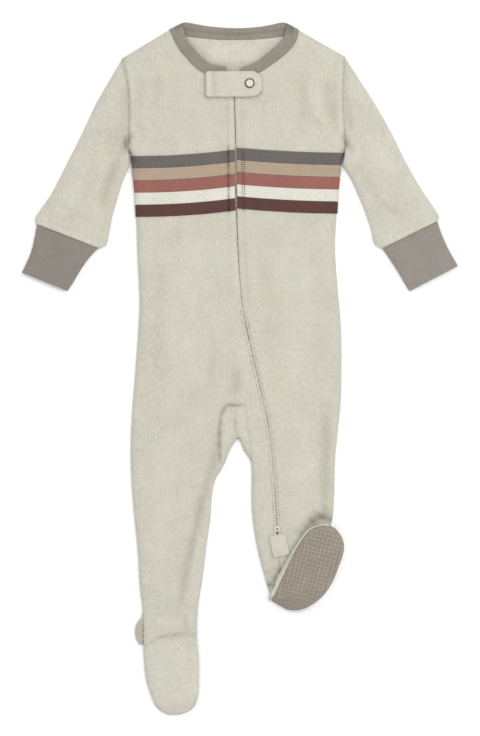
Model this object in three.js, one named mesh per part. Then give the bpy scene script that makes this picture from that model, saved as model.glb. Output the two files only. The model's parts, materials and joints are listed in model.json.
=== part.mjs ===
// A footed baby sleepsuit, about size 6 months, laid flat on its back with one foot folded up.
// Millimetres, +Z up off the surface it lies on, the neck towards +Y. Right and left are the
// wearer's, so right is -X. Each piece is one cloth wall; seams leave a small gap between walls.
import * as THREE from 'three';

// Driving sizes
const seamGap = 0.3;
const velourWall = 1.6;
const ribWall = 1.4;
const stripeWall = 0.7;
const seamHeight = 2.8;
const backRoll = 3;
const edgeInsets = [0, 0.8, 3.2, 8];
const backInsets = [0, 0.9, 3];
const velour = { rollWidth: 8, rollRise: 3, crown: 1.1, crownWidth: 30 };
const ribbing = { rollWidth: 6, rollRise: 2.4, crown: 0.6, crownWidth: 20 };
const frontBase = seamHeight + seamGap / 2;
const backBase = seamHeight - seamGap / 2;
const armpitY = 228.9;
const gussetTopY = -39.2;
const crotchY = -73.5;
const leftAnkleY = -235.2;
const rightAnkleY = -285.6;
const ankleSlant = 6.3;
const zipEndY = -172;
const zipHalfSlot = 1.2;
const zipChainHalf = 0.9;

// Outlines of the trunk and legs: the x of an edge at each height y
const rightArmhole = [
  { y: 325.4, x: -123.5 }, { y: 300, x: -118.2 }, { y: 275, x: -116.4 }, { y: 250, x: -116.6 },
  { y: 228.9, x: -116.9 },
];
const leftArmhole = [
  { y: 327.3, x: 110 }, { y: 300, x: 108.4 }, { y: 275, x: 108.2 }, { y: 250, x: 109.6 },
  { y: 228.9, x: 110.8 },
];
const rightSide = [
  { y: 228.9, x: -116.9 }, { y: 220, x: -113.8 },
  { y: 208, x: -112.4 }, { y: 176, x: -109.4 }, { y: 113, x: -107.1 },
  { y: 71, x: -105.2 }, { y: 45, x: -106.1 }, { y: -12, x: -110.2 }, { y: -49, x: -113.2 },
  { y: -86, x: -114.5 }, { y: -123, x: -113.4 }, { y: -160, x: -110.2 }, { y: -191, x: -107.1 },
  { y: -228, x: -105 }, { y: -256, x: -101.9 }, { y: -292, x: -101.1 }, { y: -326, x: -98.2 },
  { y: -345, x: -92.5 }, { y: -354, x: -88.4 }, { y: -360, x: -82.6 }, { y: -364, x: -74.5 },
];
const leftSide = [
  { y: 228.9, x: 110.8 }, { y: 220, x: 107 },
  { y: 208, x: 105 }, { y: 187, x: 102.9 }, { y: 161, x: 101.3 },
  { y: 124, x: 99.8 }, { y: 82, x: 102.6 }, { y: 40, x: 106.1 }, { y: -28, x: 106.1 },
  { y: -65, x: 102.9 }, { y: -97, x: 99.8 }, { y: -139, x: 98.7 }, { y: -160, x: 96.6 },
  { y: -202, x: 86.1 }, { y: -235.2, x: 77.7 }, { y: -247, x: 75 },
];
const rightInseam = [
  { y: -73.5, x: -2 }, { y: -76.1, x: -4.2 }, { y: -86, x: -10.5 }, { y: -97, x: -14.9 },
  { y: -107, x: -19.9 }, { y: -117.6, x: -26 }, { y: -133, x: -29.4 }, { y: -160, x: -31.5 },
  { y: -181, x: -34.6 }, { y: -217, x: -38.9 }, { y: -244, x: -43 }, { y: -265, x: -45.1 },
  { y: -286, x: -45.1 }, { y: -305, x: -43.4 }, { y: -330, x: -43.2 }, { y: -343, x: -44 },
  { y: -352.3, x: -46.6 }, { y: -358.5, x: -51.2 }, { y: -362.4, x: -59 }, { y: -364, x: -65 },
];
const leftInseam = [
  { y: -73.5, x: -1.4 }, { y: -76.1, x: 0.3 }, { y: -86, x: 4.2 }, { y: -92.4, x: 8.6 },
  { y: -97.7, x: 11.4 }, { y: -107, x: 12.6 }, { y: -144, x: 12.6 }, { y: -170, x: 15.2 },
  { y: -191, x: 18.9 }, { y: -212, x: 24.2 }, { y: -235.2, x: 31 }, { y: -247, x: 36 },
];
const zipLine = [
  { y: 308, x: -6.8 }, { y: 239, x: -4.7 }, { y: 168, x: -3.8 }, { y: 108, x: -1.1 },
  { y: 69, x: 2.1 }, { y: 42, x: 6.8 }, { y: 14.7, x: 13 }, { y: -12.6, x: 19.3 },
  { y: -40, x: 25.5 }, { y: -65, x: 30.5 }, { y: -97, x: 34.1 }, { y: -128, x: 36.8 },
  { y: -169, x: 38.9 }, { y: -202, x: 41.5 }, { y: -235.2, x: 45.1 },
];
// The two seams of the gusset, with the lines they follow up to the neck
const gussetRightSeam = [
  { y: 310, x: -38.5 }, { y: 100, x: -34 }, { y: 0, x: -22 }, { y: -39.2, x: -15.5 },
  { y: -48, x: -19.4 }, { y: -59, x: -21.2 }, { y: -80, x: -21.6 }, { y: -97, x: -21.2 },
];
const gussetLeftSeam = [
  { y: 310, x: -18 }, { y: 200, x: -17 }, { y: 100, x: -14 }, { y: 0, x: 0 }, { y: -39.2, x: 5.2 },
  { y: -48, x: 6.9 }, { y: -60, x: 7.8 }, { y: -72, x: 9.6 }, { y: -86, x: 11.6 },
];
// The neck opening: where the band is sewn to the cloth, and the band's free edge
const neckRight = [
  { x: -74.1, y: 355.2, freeX: -60.9, freeY: 361.2 }, { x: -66.9, y: 339.7, freeX: -56.7, freeY: 347.1 },
  { x: -58.3, y: 327.9, freeX: -48.5, freeY: 335.9 }, { x: -48.6, y: 317.2, freeX: -40.2, freeY: 326.6 },
  { x: -37.9, y: 309.8, freeX: -32, freeY: 319.9 }, { x: -26.2, y: 307.1, freeX: -23.6, freeY: 317.6 },
  { x: -13.7, y: 306.1, freeX: -13.3, freeY: 316.4 }, { x: -8, y: 306, freeX: -8, freeY: 316.4 },
];
const neckLeft = [
  { x: -5.6, y: 305.8, freeX: -5.4, freeY: 316.2 }, { x: 0.8, y: 305.8, freeX: 0.6, freeY: 316.4 },
  { x: 10.5, y: 306.8, freeX: 8, freeY: 317.6 }, { x: 20.5, y: 310, freeX: 16, freeY: 320.8 },
  { x: 28.5, y: 315, freeX: 21.8, freeY: 324.8 }, { x: 39.2, y: 322.8, freeX: 30.5, freeY: 331.6 },
  { x: 52.1, y: 334, freeX: 41.6, freeY: 341.4 }, { x: 59.5, y: 345, freeX: 47.4, freeY: 350.5 },
  { x: 61.7, y: 354.7, freeX: 49, freeY: 360.6 },
];
const neckBack = [
  { x: -74.1, y: 355.2, freeX: -60.9, freeY: 361.8 }, { x: -66.5, y: 350.6, freeX: -59.4, freeY: 363 },
  { x: -57, y: 348.6, freeX: -55.2, freeY: 363.2 }, { x: -31.5, y: 345.6, freeX: -31.5, freeY: 359.1 },
  { x: -3.7, y: 344.2, freeX: -3.2, freeY: 357.3 }, { x: 23, y: 345.8, freeX: 23, freeY: 359.1 },
  { x: 45, y: 348.4, freeX: 43.4, freeY: 363.1 }, { x: 54.4, y: 350.4, freeX: 47.6, freeY: 362.8 },
  { x: 61.7, y: 354.7, freeX: 49.2, freeY: 361.4 },
];
// Sleeves and cuffs: each section runs from the outer edge to the inner edge
const rightSleeve = [
  { outX: -150.2, outY: 279.3, inX: -115.6, inY: 213 },
  { outX: -165.9, outY: 245.7, inX: -122.9, inY: 197.4 },
  { outX: -179.6, outY: 218.4, inX: -129, inY: 177.4 },
  { outX: -197.4, outY: 183.8, inX: -134.6, inY: 157.5 },
  { outX: -209.4, outY: 166.4, inX: -137.9, inY: 139.6 },
  { outX: -215.2, outY: 156.6, inX: -141.1, inY: 128.4 },
  { outX: -213.8, outY: 151.2, inX: -148.4, inY: 125.6 },
];
const leftSleeve = [
  { outX: 140.7, outY: 279.3, inX: 107.6, inY: 213.4 },
  { outX: 157.5, outY: 249.9, inX: 116.6, inY: 199.5 },
  { outX: 173.2, outY: 218.4, inX: 125.6, inY: 179.6 },
  { outX: 190.1, outY: 188.4, inX: 132.8, inY: 161.6 },
  { outX: 203.8, outY: 168.4, inX: 138.2, inY: 144.8 },
  { outX: 209.4, outY: 158.6, inX: 142, inY: 129.6 },
  { outX: 208, outY: 154.4, inX: 149.2, inY: 125.4 },
];
const rightCuff = [
  { outX: -215.6, outY: 137.5, inX: -159.4, inY: 114.6 },
  { outX: -219.5, outY: 121.5, inX: -169.1, inY: 100.4 },
  { outX: -224.6, outY: 109.6, inX: -175.4, inY: 89.6 },
  { outX: -229.1, outY: 100.2, inX: -181.2, inY: 80.9 },
];
const leftCuff = [
  { outX: 211.8, outY: 140.9, inX: 158.8, inY: 112.6 },
  { outX: 217.9, outY: 127.1, inX: 166.6, inY: 100.4 },
  { outX: 223.7, outY: 116.4, inX: 172.4, inY: 90.4 },
  { outX: 229.1, outY: 107.2, inX: 178.3, inY: 80.8 },
];
// The sole of the folded foot, across its own axis at each distance from the heel
const soleHeel = { x: 46.2, y: -252, turn: 60.7 };
const soleShape = [
  { along: 0, left: -14, right: 3.5 },
  { along: 1.5, left: -15.6, right: 7 }, { along: 4.5, left: -16, right: 12.4 },
  { along: 11, left: -16.4, right: 19.2 }, { along: 22, left: -17.4, right: 25.6 },
  { along: 35, left: -18.3, right: 29.8 }, { along: 50, left: -19.2, right: 30.7 },
  { along: 64, left: -19.4, right: 28.8 }, { along: 76, left: -18.7, right: 27 },
  { along: 86, left: -16.2, right: 23.8 }, { along: 93, left: -10.8, right: 18.2 },
  { along: 97.4, left: -4.6, right: 11.4 }, { along: 99, left: 0, right: 6 },
];
const foldedFootSeat = [
  { along: 0, z: 2.7 }, { along: 1.5, z: 4.6 }, { along: 4.5, z: 7 }, { along: 11, z: 9.6 },
  { along: 22, z: 10.6 }, { along: 99, z: 10.6 },
];
const vampStart = 17;
const vampWall = 1.4;
const vampShape = { rollWidth: 8, rollRise: 2.7, crown: 0, crownWidth: 20 };
const soleCrown = { rollWidth: 8, rollRise: 3, crown: 0.5, crownWidth: 20 };
// The flat foot's sole runs under the leg to the heel
const flatSoleTopY = -260.5;
const flatSoleHeel = [{ y: -256, x: -98.2 }, { y: -284, x: -98.2 }, { y: -295, x: -101.2 }];
const heelClear = 1.7;
const heelBulge = [
  { y: -256, x: -101.9 }, { y: -262, x: -103.4 }, { y: -268, x: -108.2 }, { y: -275, x: -110 },
  { y: -284, x: -109 }, { y: -291, x: -105.4 },
];
// Largest folds: a soft curve from start to end through its middle; rise is up, below nought a trough
const folds = [
  { x1: -26, y1: -84, xm: -46, ym: -165, x2: -64, y2: -268, width: 6, rise: -1.3 },
  { x1: -14, y1: -100, xm: -38, ym: -170, x2: -50, y2: -250, width: 6, rise: 0.7 },
  { x1: -6, y1: -28, xm: -5, ym: -16, x2: -2, y2: 0, width: 5, rise: -1.0 },
  { x1: 92, y1: -30, xm: 90, ym: -90, x2: 89, y2: -158, width: 6, rise: -1.0 },
  { x1: 68, y1: 318, xm: 67, ym: 302, x2: 69, y2: 280, width: 5, rise: -1.0 },
  { x1: 90, y1: 304, xm: 88, ym: 286, x2: 91, y2: 264, width: 5, rise: -0.9 },
  { x1: -106, y1: 306, xm: -105, ym: 298, x2: -107, y2: 280, width: 5, rise: -0.9 },
  { x1: -89, y1: 306, xm: -89, ym: 298, x2: -91, y2: 284, width: 5, rise: -0.8 },
  { x1: -122, y1: 226, xm: -136, ym: 200, x2: -143, y2: 166, width: 6, rise: -1.2 },
  { x1: 118, y1: 214, xm: 136, ym: 192, x2: 150, y2: 160, width: 6, rise: -1.0 },
  { x1: -156, y1: 236, xm: -168, ym: 208, x2: -186, y2: 172, width: 7, rise: 0.7 },
  { x1: 60, y1: -205, xm: 58, ym: -218, x2: 50, y2: -232, width: 4, rise: -0.8 },
  { x1: -92, y1: -274, xm: -76, ym: -283, x2: -56, y2: -274, width: 4.5, rise: -1.3 },
  { x1: -66, y1: -352, xm: -70, ym: -330, x2: -76, y2: -300, width: 14, rise: 1.6 },
  { x1: -40, y1: 140, xm: -60, ym: 60, x2: -52, y2: -20, width: 12, rise: 0.6 },
  { x1: 50, y1: 130, xm: 62, ym: 50, x2: 58, y2: -30, width: 12, rise: 0.6 },
];
// Striped band across the chest: its upper edge at the side seam and at the zip, on each front
const stripeWidth = 12.8;
const stripeBand = {
  right: { sideTop: 222.4, zipTop: 229.1, sag: -1.9 },
  left: { sideTop: 225.8, zipTop: 231.1, sag: -1.2 },
};
const stripes = [
  { name: 'grey', colour: 0x747068 },
  { name: 'tan', colour: 0xbaa68f }, { name: 'rose', colour: 0xa06a62 },
  { name: 'cream', colour: 0xdddbcf }, { name: 'plum', colour: 0x644843 },
];
const colours = { velour: 0xd2cec1, rib: 0x9a9286, sole: 0x968d80, zip: 0xdedcd4, snap: 0xd8d6cc };
// Chin tab over the zip's upper end, with its snap, and the patch and slider at the lower end
const tab = {
  left: -36.2, right: 23.1, top: 311.5, bottom: 284.2, corner: 7, seat: 7.6, edge: 1.6, middle: 2.6,
};
const snap = { x: 10.2, y: 298.5, radius: 5, rim: 1, height: 1.7, sink: 0.5 };
const guard = {
  x: 40.9, y: -186, width: 17.4, height: 23.5, turn: 8, corner: 2, seat: 7.3, edge: 1, middle: 1.6,
};
const slider = { x: 38.7, y: -168.4, width: 6, length: 6.4, height: 2.2, hole: 0.9, seat: 7.35 };

// A smooth curve through a table: reads one column at a value of another
function reader(rows, column = 'x', by = 'y') {
  const sorted = [...rows].sort((a, b) => a[by] - b[by]);
  const last = sorted.length - 1;
  const slope = (i) => {
    const below = sorted[Math.max(i - 1, 0)];
    const above = sorted[Math.min(i + 1, last)];
    return (above[column] - below[column]) / (above[by] - below[by]);
  };
  return (value) => {
    if (value <= sorted[0][by]) return sorted[0][column];
    if (value >= sorted[last][by]) return sorted[last][column];
    let i = 0;
    while (value > sorted[i + 1][by]) i += 1;
    const span = sorted[i + 1][by] - sorted[i][by];
    const t = (value - sorted[i][by]) / span;
    const rest = 1 - t;
    return sorted[i][column] * (1 + 2 * t) * rest * rest + sorted[i + 1][column] * t * t * (3 - 2 * t)
      + span * t * rest * (slope(i) * rest - slope(i + 1) * t);
  };
}

const mix = (a, b, t) => a + (b - a) * t;
const rightArmX = reader(rightArmhole);
const leftArmX = reader(leftArmhole);
const rightSideX = reader(rightSide);
const leftSideX = reader(leftSide);
const rightInseamX = reader(rightInseam);
const leftInseamX = reader(leftInseam);
const zipX = reader(zipLine);
const gussetRightX = reader(gussetRightSeam);
const gussetLeftX = reader(gussetLeftSeam);
const heelBulgeX = reader(heelBulge);
const flatSoleHeelX = reader(flatSoleHeel);

// Points of a curve x(y) from one height to another, at most step apart in y
function trace(xAt, fromY, toY, step = 1.5) {
  const count = Math.ceil(Math.abs(toY - fromY) / step);
  return Array.from({ length: count + 1 }, (_, i) => {
    const y = mix(fromY, toY, i / count);
    return [xAt(y), y];
  });
}

// Distance to the nearest folded edge, and the way in from it; cloth lies left of each line
function foldFinder(lines) {
  const snapDistance = 0.25;
  return (x, y) => {
    let best = { d: Infinity, nx: 0, ny: 1 };
    for (const line of lines) {
      for (let i = 0; i + 1 < line.length; i += 1) {
        const [ax, ay] = line[i];
        const [bx, by] = line[i + 1];
        const length = Math.hypot(bx - ax, by - ay);
        const t = THREE.MathUtils.clamp(((x - ax) * (bx - ax) + (y - ay) * (by - ay)) / length ** 2, 0, 1);
        const vx = x - mix(ax, bx, t);
        const vy = y - mix(ay, by, t);
        const d = Math.hypot(vx, vy);
        if (d < best.d - 1e-6) {
          best = d > snapDistance
            ? { d, nx: vx / d, ny: vy / d }
            : { d, nx: (ay - by) / length, ny: (bx - ax) / length };
        }
      }
    }
    if (best.d <= snapDistance) best.d = 0;
    return best;
  };
}

// Rise of the largest folds at a point
const foldSteps = 12;
const foldFade = 9;
const foldSamples = folds.map((fold) => Array.from({ length: foldSteps + 1 }, (_, i) => {
  const t = i / foldSteps;
  const rest = 1 - t;
  return {
    x: rest * rest * fold.x1 + 2 * t * rest * (2 * fold.xm - (fold.x1 + fold.x2) / 2) + t * t * fold.x2,
    y: rest * rest * fold.y1 + 2 * t * rest * (2 * fold.ym - (fold.y1 + fold.y2) / 2) + t * t * fold.y2,
    share: Math.sqrt(4 * t * rest),
  };
}));
function foldRise(x, y, d) {
  const fade = Math.min(d / foldFade, 1);
  return fade * folds.reduce((sum, fold, k) => {
    let near = Infinity;
    let share = 0;
    for (let i = 0; i < foldSteps; i += 1) {
      const a = foldSamples[k][i];
      const b = foldSamples[k][i + 1];
      const t = THREE.MathUtils.clamp(
        ((x - a.x) * (b.x - a.x) + (y - a.y) * (b.y - a.y)) / ((b.x - a.x) ** 2 + (b.y - a.y) ** 2), 0, 1);
      const away = Math.hypot(x - mix(a.x, b.x, t), y - mix(a.y, b.y, t));
      if (away < near) {
        near = away;
        share = mix(a.share, b.share, t);
      }
    }
    return sum + fold.rise * share * Math.exp(-((near / fold.width) ** 2));
  }, 0);
}

// Height above a folded edge at distance d in from it, and the slope there
function puff(shape, d) {
  const roll = Math.min(d / shape.rollWidth, 1);
  const arc = Math.sqrt(1 - (1 - roll) ** 2);
  const crown = Math.min(d / shape.crownWidth, 1);
  const rise = shape.rollRise * arc + shape.crown * (1 - (1 - crown) ** 2);
  const slope = (roll < 1 ? (shape.rollRise * (1 - roll)) / (shape.rollWidth * arc) : 0)
    + (2 * shape.crown * (1 - crown)) / shape.crownWidth;
  return { rise, slope };
}

// One point of an upper skin, with the way out of the cloth; base gives the edge's height
function topPoint(x, y, fold, shape = velour, base = () => frontBase, creased = true) {
  const { rise, slope } = puff(shape, fold.d);
  if (fold.d === 0) {
    return { p: new THREE.Vector3(x, y, base(x, y)), n: new THREE.Vector3(-fold.nx, -fold.ny, 0) };
  }
  const extra = (px, py) => base(px, py) + (creased ? foldRise(px, py, fold.d) : 0);
  const step = 0.5;
  const gx = (extra(x + step, y) - extra(x - step, y)) / (2 * step) + slope * fold.nx;
  const gy = (extra(x, y + step) - extra(x, y - step)) / (2 * step) + slope * fold.ny;
  return { p: new THREE.Vector3(x, y, extra(x, y) + rise), n: new THREE.Vector3(-gx, -gy, 1).normalize() };
}

// One point of an under skin: flat on the surface, its edge turned up in a small radius
function underPoint(x, y, fold, radius = backRoll, base = backBase) {
  const s = Math.min(fold.d / radius, 1);
  const arc = Math.sqrt(1 - (1 - s) ** 2);
  if (fold.d === 0) {
    return { p: new THREE.Vector3(x, y, base), n: new THREE.Vector3(-fold.nx, -fold.ny, 0) };
  }
  const slope = s < 1 ? (base * (1 - s)) / (radius * arc) : 0;
  const n = new THREE.Vector3(-slope * fold.nx, -slope * fold.ny, -1).normalize();
  return { p: new THREE.Vector3(x, y, base * (1 - arc)), n };
}

// A closed wall between two grids of points; cells that are not kept leave an opening
function wallBetween(outer, inner, { ring = false, kept = () => true } = {}) {
  const rows = outer.length - 1;
  const width = outer[0].length;
  const columns = ring ? width : width - 1;
  const has = (i, j) => {
    const column = ring ? (j + columns) % columns : j;
    return i >= 0 && i < rows && column >= 0 && column < columns && kept(i, column);
  };
  const points = [];
  const face = (a, b, c, d) => points.push(a, b, c, a, c, d);
  for (let i = 0; i < rows; i += 1) {
    for (let j = 0; j < columns; j += 1) {
      if (!has(i, j)) continue;
      const right = (j + 1) % width;
      const corners = [[i, j], [i + 1, j], [i + 1, right], [i, right]];
      const [a, b, c, d] = corners.map(([r, k]) => outer[r][k]);
      const [e, f, g, h] = corners.map(([r, k]) => inner[r][k]);
      face(a, b, c, d);
      face(h, g, f, e);
      if (!has(i, j - 1)) face(a, e, f, b);
      if (!has(i + 1, j)) face(b, f, g, c);
      if (!has(i, j + 1)) face(c, g, h, d);
      if (!has(i - 1, j)) face(d, h, e, a);
    }
  }
  let volume = 0;
  for (let i = 0; i < points.length; i += 3) {
    volume += points[i].dot(new THREE.Vector3().crossVectors(points[i + 1], points[i + 2]));
  }
  if (volume < 0) points.reverse();
  return new THREE.BufferGeometry().setFromPoints(points);
}
function shifted(grid, distance) {
  return grid.map((row) => row.map(({ p, n }) => p.clone().addScaledVector(n, distance)));
}
const clothWall = (grid, wall, options) => wallBetween(shifted(grid, 0), shifted(grid, -wall), options);

const suit = new THREE.Group();
function add(name, geometry, colour, roughness = 0.9, metalness = 0) {
  const material = new THREE.MeshStandardMaterial({ color: colour, roughness, metalness });
  const mesh = new THREE.Mesh(geometry, material);
  mesh.name = name;
  suit.add(mesh);
}

// Folded edges of the whole suit, walked with the cloth on the left
const neckRightY = reader(neckRight, 'y', 'x');
const neckLeftY = reader(neckLeft, 'y', 'x');
const neckBackY = reader(neckBack, 'y', 'x');
const shoulderRight = [[neckRight[0].x, neckRight[0].y], [rightArmhole[0].x, rightArmhole[0].y]];
const shoulderLeft = [[leftArmhole[0].x, leftArmhole[0].y], [neckLeft.at(-1).x, neckLeft.at(-1).y]];
const footEndY = -364;
const suitFold = foldFinder([
  shoulderRight,
  [...trace(rightSideX, armpitY, footEndY), ...trace(rightInseamX, footEndY, crotchY),
    ...trace(leftInseamX, crotchY, -247)],
  trace(leftSideX, -247, armpitY),
  shoulderLeft,
]);
const backFold = foldFinder([
  shoulderRight,
  trace(rightSideX, armpitY, -256),
  trace(heelBulgeX, -256, -291),
  trace(rightInseamX, footEndY, crotchY),
  trace(leftInseamX, crotchY, -247),
  trace(leftSideX, -247, armpitY),
  shoulderLeft,
]);

// The upper edge of the cloth: a shoulder seam, then the neck
function shoulderY([from, to], x) {
  return mix(from[1], to[1], (x - from[0]) / (to[0] - from[0]));
}
const frontRightTop = (x) => (x < neckRight[0].x ? shoulderY(shoulderRight, x) : neckRightY(x));
const frontLeftTop = (x) => (x > neckLeft.at(-1).x ? shoulderY(shoulderLeft, x) : neckLeftY(x));
function backTop(x) {
  if (x < neckRight[0].x) return shoulderY(shoulderRight, x);
  if (x > neckLeft.at(-1).x) return shoulderY(shoulderLeft, x);
  return neckBackY(x);
}
const rightEdgeX = (y) => (y > armpitY ? rightArmX(y) : rightSideX(y));
const leftEdgeX = (y) => (y > armpitY ? leftArmX(y) : leftSideX(y));

// A panel: columns give x at a height, rows run from the upper edge down, with a lower list of heights
function panelGrid(columns, topAt, insets, chestRows, lowerRows, pointAt, lowerAt = () => 0) {
  const tops = columns.map((column) => {
    let x = column(330);
    for (let i = 0; i < 12; i += 1) x = column(Math.min(topAt(x), 400));
    return topAt(x);
  });
  const grid = [];
  insets.forEach((inset) => grid.push(columns.map((column, j) => {
    const y = tops[j] - inset;
    return pointAt(column(y), y);
  })));
  for (let i = 1; i <= chestRows; i += 1) {
    grid.push(columns.map((column, j) => {
      const y = mix(tops[j] - insets.at(-1), armpitY, i / chestRows);
      return pointAt(column(y), y);
    }));
  }
  lowerRows.forEach((height) => grid.push(columns.map((column) => {
    const y = height + lowerAt(height, column(height));
    return pointAt(column(y), y);
  })));
  return grid;
}
const inset = (edge, distance) => (y) => edge(y) + distance;
const between = (low, high, share) => (y) => mix(low(y), high(y), share);
const suitTop = (x, y) => topPoint(x, y, suitFold(x, y));
const slotCloses = 6;
function slot(y) {
  const below = THREE.MathUtils.clamp((zipEndY - y) / slotCloses, 0, 1);
  return mix(zipHalfSlot, seamGap / 2, below);
}

// Right front: the right of the trunk, the right leg, and the inner strip of the left leg
const stripLeft = (y) => (y > -95 ? gussetLeftX(y) : leftInseamX(y));
const legRight = (y) => (y > -101 ? gussetRightX(y) : rightInseamX(y));
const zipRightEdge = (y) => zipX(y) - slot(y);
const rightMid = [0.3, 0.596, 0.67, 0.75, 0.88];
const wideInset = edgeInsets.at(-1);
const frontRightColumns = [
  ...edgeInsets.map((d) => inset(rightEdgeX, d)),
  ...rightMid.map((share) => between(inset(rightEdgeX, wideInset), inset(legRight, -wideInset), share)),
  ...edgeInsets.toReversed().map((d) => inset(legRight, -d)),
  ...[1 / 3, 2 / 3].map((share) => between(legRight, stripLeft, share)),
  ...edgeInsets.map((d) => inset(stripLeft, d)),
  zipRightEdge,
];
const legEdgeColumn = edgeInsets.length * 2 + rightMid.length - 1;
const stripEdgeColumn = legEdgeColumn + 3;
const trunkRows = [220, 213, 206, 190, 172, 155, 135, 113, 90, 69, 48, 28, 8, -12, -27, gussetTopY];
const crotchRows = [-48, -58, -67, crotchY, -80, -87, -92.4, -98, -105, -112];
const legRows = [-124, -138, -153, -168, -180, -192, -205, -220, leftAnkleY];
const ankleRows = [-250, -262, -273, -280, rightAnkleY];
const frontRightRows = [...trunkRows, ...crotchRows, ...legRows, ...ankleRows];
const topRows = edgeInsets.length - 1;
const chestRows = 6;
const rowOf = (y) => topRows + chestRows + 1 + frontRightRows.indexOf(y);
function legShareAt(x, y) {
  return THREE.MathUtils.clamp((x - rightSideX(y)) / (rightInseamX(y) - rightSideX(y)), 0, 1);
}
function ankleShift(height, x) {
  const ramp = THREE.MathUtils.clamp((leftAnkleY - height) / (leftAnkleY - rightAnkleY), 0, 1);
  return -ankleSlant * (1 - 2 * legShareAt(x, height)) * ramp;
}
add('front_right', clothWall(
  panelGrid(frontRightColumns, frontRightTop, edgeInsets, chestRows, frontRightRows, suitTop, ankleShift),
  velourWall,
  {
    kept: (i, j) => {
      if (i >= rowOf(leftAnkleY)) return j < legEdgeColumn;
      return i < rowOf(gussetTopY) || j < legEdgeColumn || j >= stripEdgeColumn;
    },
  },
), colours.velour);

// Left front: from the zip to the left side, down to the ankle of the folded foot
const zipLeftEdge = (y) => zipX(y) + slot(y);
const leftShares = [0, 0.1, 0.24, 0.36, 0.49, 0.6255, 0.81];
const frontLeftColumns = [
  ...leftShares.map((share) => between(zipLeftEdge, inset(leftEdgeX, -wideInset), share)),
  ...edgeInsets.toReversed().map((d) => inset(leftEdgeX, -d)),
];
add('front_left', clothWall(
  panelGrid(frontLeftColumns, frontLeftTop, edgeInsets, chestRows,
    [...trunkRows, -58, -80, -98, -112, ...legRows], suitTop),
  velourWall,
), colours.velour);

// Gusset: two prongs run down each side of the crotch
const prongEnd = { right: -94, left: -84 };
const gussetRows = [
  gussetTopY - seamGap, -48, -58, -64, -69, -72, crotchY, -76, -80, prongEnd.left, -89, prongEnd.right,
];
const prongInsets = [0, 0.8, 3.2];
const apexRight = (y) => (y > crotchY ? rightInseamX(crotchY) : rightInseamX(y));
const apexLeft = (y) => (y > crotchY ? leftInseamX(crotchY) : leftInseamX(y));
const gussetRightEdge = (y) => gussetRightX(y) + seamGap;
const gussetLeftEdge = (y) => gussetLeftX(y) - seamGap;
const prongWidth = 7;
const rightProng = (d) => (y) => {
  const narrow = mix(gussetRightEdge(y), apexRight(y), 1 - d / prongWidth);
  return Math.max(apexRight(y) - d, narrow);
};
const leftProng = (d) => (y) => {
  const narrow = mix(apexLeft(y), gussetLeftEdge(y), d / prongWidth);
  return Math.min(apexLeft(y) + d, narrow);
};
const gussetColumns = [
  gussetRightEdge,
  between(gussetRightEdge, apexRight, 0.45),
  ...prongInsets.toReversed().map(rightProng),
  ...prongInsets.map(leftProng),
  between(apexLeft, gussetLeftEdge, 0.6),
  gussetLeftEdge,
];
const apexColumn = 4;
add('crotch_gusset', clothWall(
  gussetRows.map((y) => gussetColumns.map((column) => suitTop(column(y), y))),
  velourWall,
  {
    kept: (i, j) => {
      if (i >= gussetRows.indexOf(crotchY) && j === apexColumn) return false;
      return i < gussetRows.indexOf(prongEnd.left) || j < apexColumn;
    },
  },
), colours.velour);

// Back: the whole underside of trunk and legs, with the heel of the flat foot bulging out beside it
const backRightX = (y) => (y > -256 ? rightEdgeX(y) : heelBulgeX(y));
const trunkLine = { height: 420, rightX: -20, leftX: 8 };
const upTrunk = (y) => (y - crotchY) / trunkLine.height;
const trunkRightX = (y) => mix(rightInseamX(crotchY), trunkLine.rightX, upTrunk(y));
const trunkLeftX = (y) => mix(leftInseamX(crotchY), trunkLine.leftX, upTrunk(y));
const backInseamRight = (y) => (y > crotchY ? trunkRightX(y) : rightInseamX(y));
const backInseamLeft = (y) => (y > crotchY ? trunkLeftX(y) : leftInseamX(y));
const backInset = backInsets.at(-1);
const backRightMid = [0.24, 0.4735, 0.6, 0.73, 0.87];
const backLeftMid = [0.14, 0.27, 0.4, 0.5265, 0.77];
const backLegs = {
  right: [inset(backRightX, backInset), inset(backInseamRight, -backInset)],
  left: [inset(backInseamLeft, backInset), inset(leftEdgeX, -backInset)],
};
const inLeg = (leg) => (share) => between(...backLegs[leg], share);
const heelEdge = (y) => (y < -257 ? flatSoleHeelX(y) - heelClear : inLeg('right')(backRightMid[0])(y));
const backColumns = [
  ...backInsets.map((d) => inset(backRightX, d)),
  heelEdge,
  ...backRightMid.slice(1).map(inLeg('right')),
  ...backInsets.toReversed().map((d) => inset(backInseamRight, -d)),
  ...backInsets.map((d) => inset(backInseamLeft, d)),
  ...backLeftMid.map(inLeg('left')),
  ...backInsets.toReversed().map((d) => inset(leftEdgeX, -d)),
];
const backApex = backInsets.length * 2 + backRightMid.length - 1;
const backEnds = { left: -246.5, right: -258 };
const backRows = [
  208, 180, 150, 113, 75, 40, 0, -30, -52, -66, crotchY, -77, -82, -88, -94, -100, -107, -116, -130, -150,
  -170, -191, -212, -232, backEnds.left, -256, backEnds.right, -264, -270, -277, -284, -290,
];
const backChestRows = 8;
const backPoint = (x, y) => underPoint(x, y, backFold(x, y));
const backGrid = panelGrid(backColumns, backTop, backInsets, backChestRows, backRows, backPoint);
const backRowOf = (y) => backInsets.length + backChestRows + backRows.indexOf(y);
add('back', clothWall(backGrid, velourWall, {
  kept: (i, j) => {
    if (i >= backRowOf(backEnds.right)) return j < backInsets.length;
    if (i >= backRowOf(backEnds.left)) return j < backApex;
    return i < backRowOf(crotchY) || j !== backApex;
  },
}), colours.velour);

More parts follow.
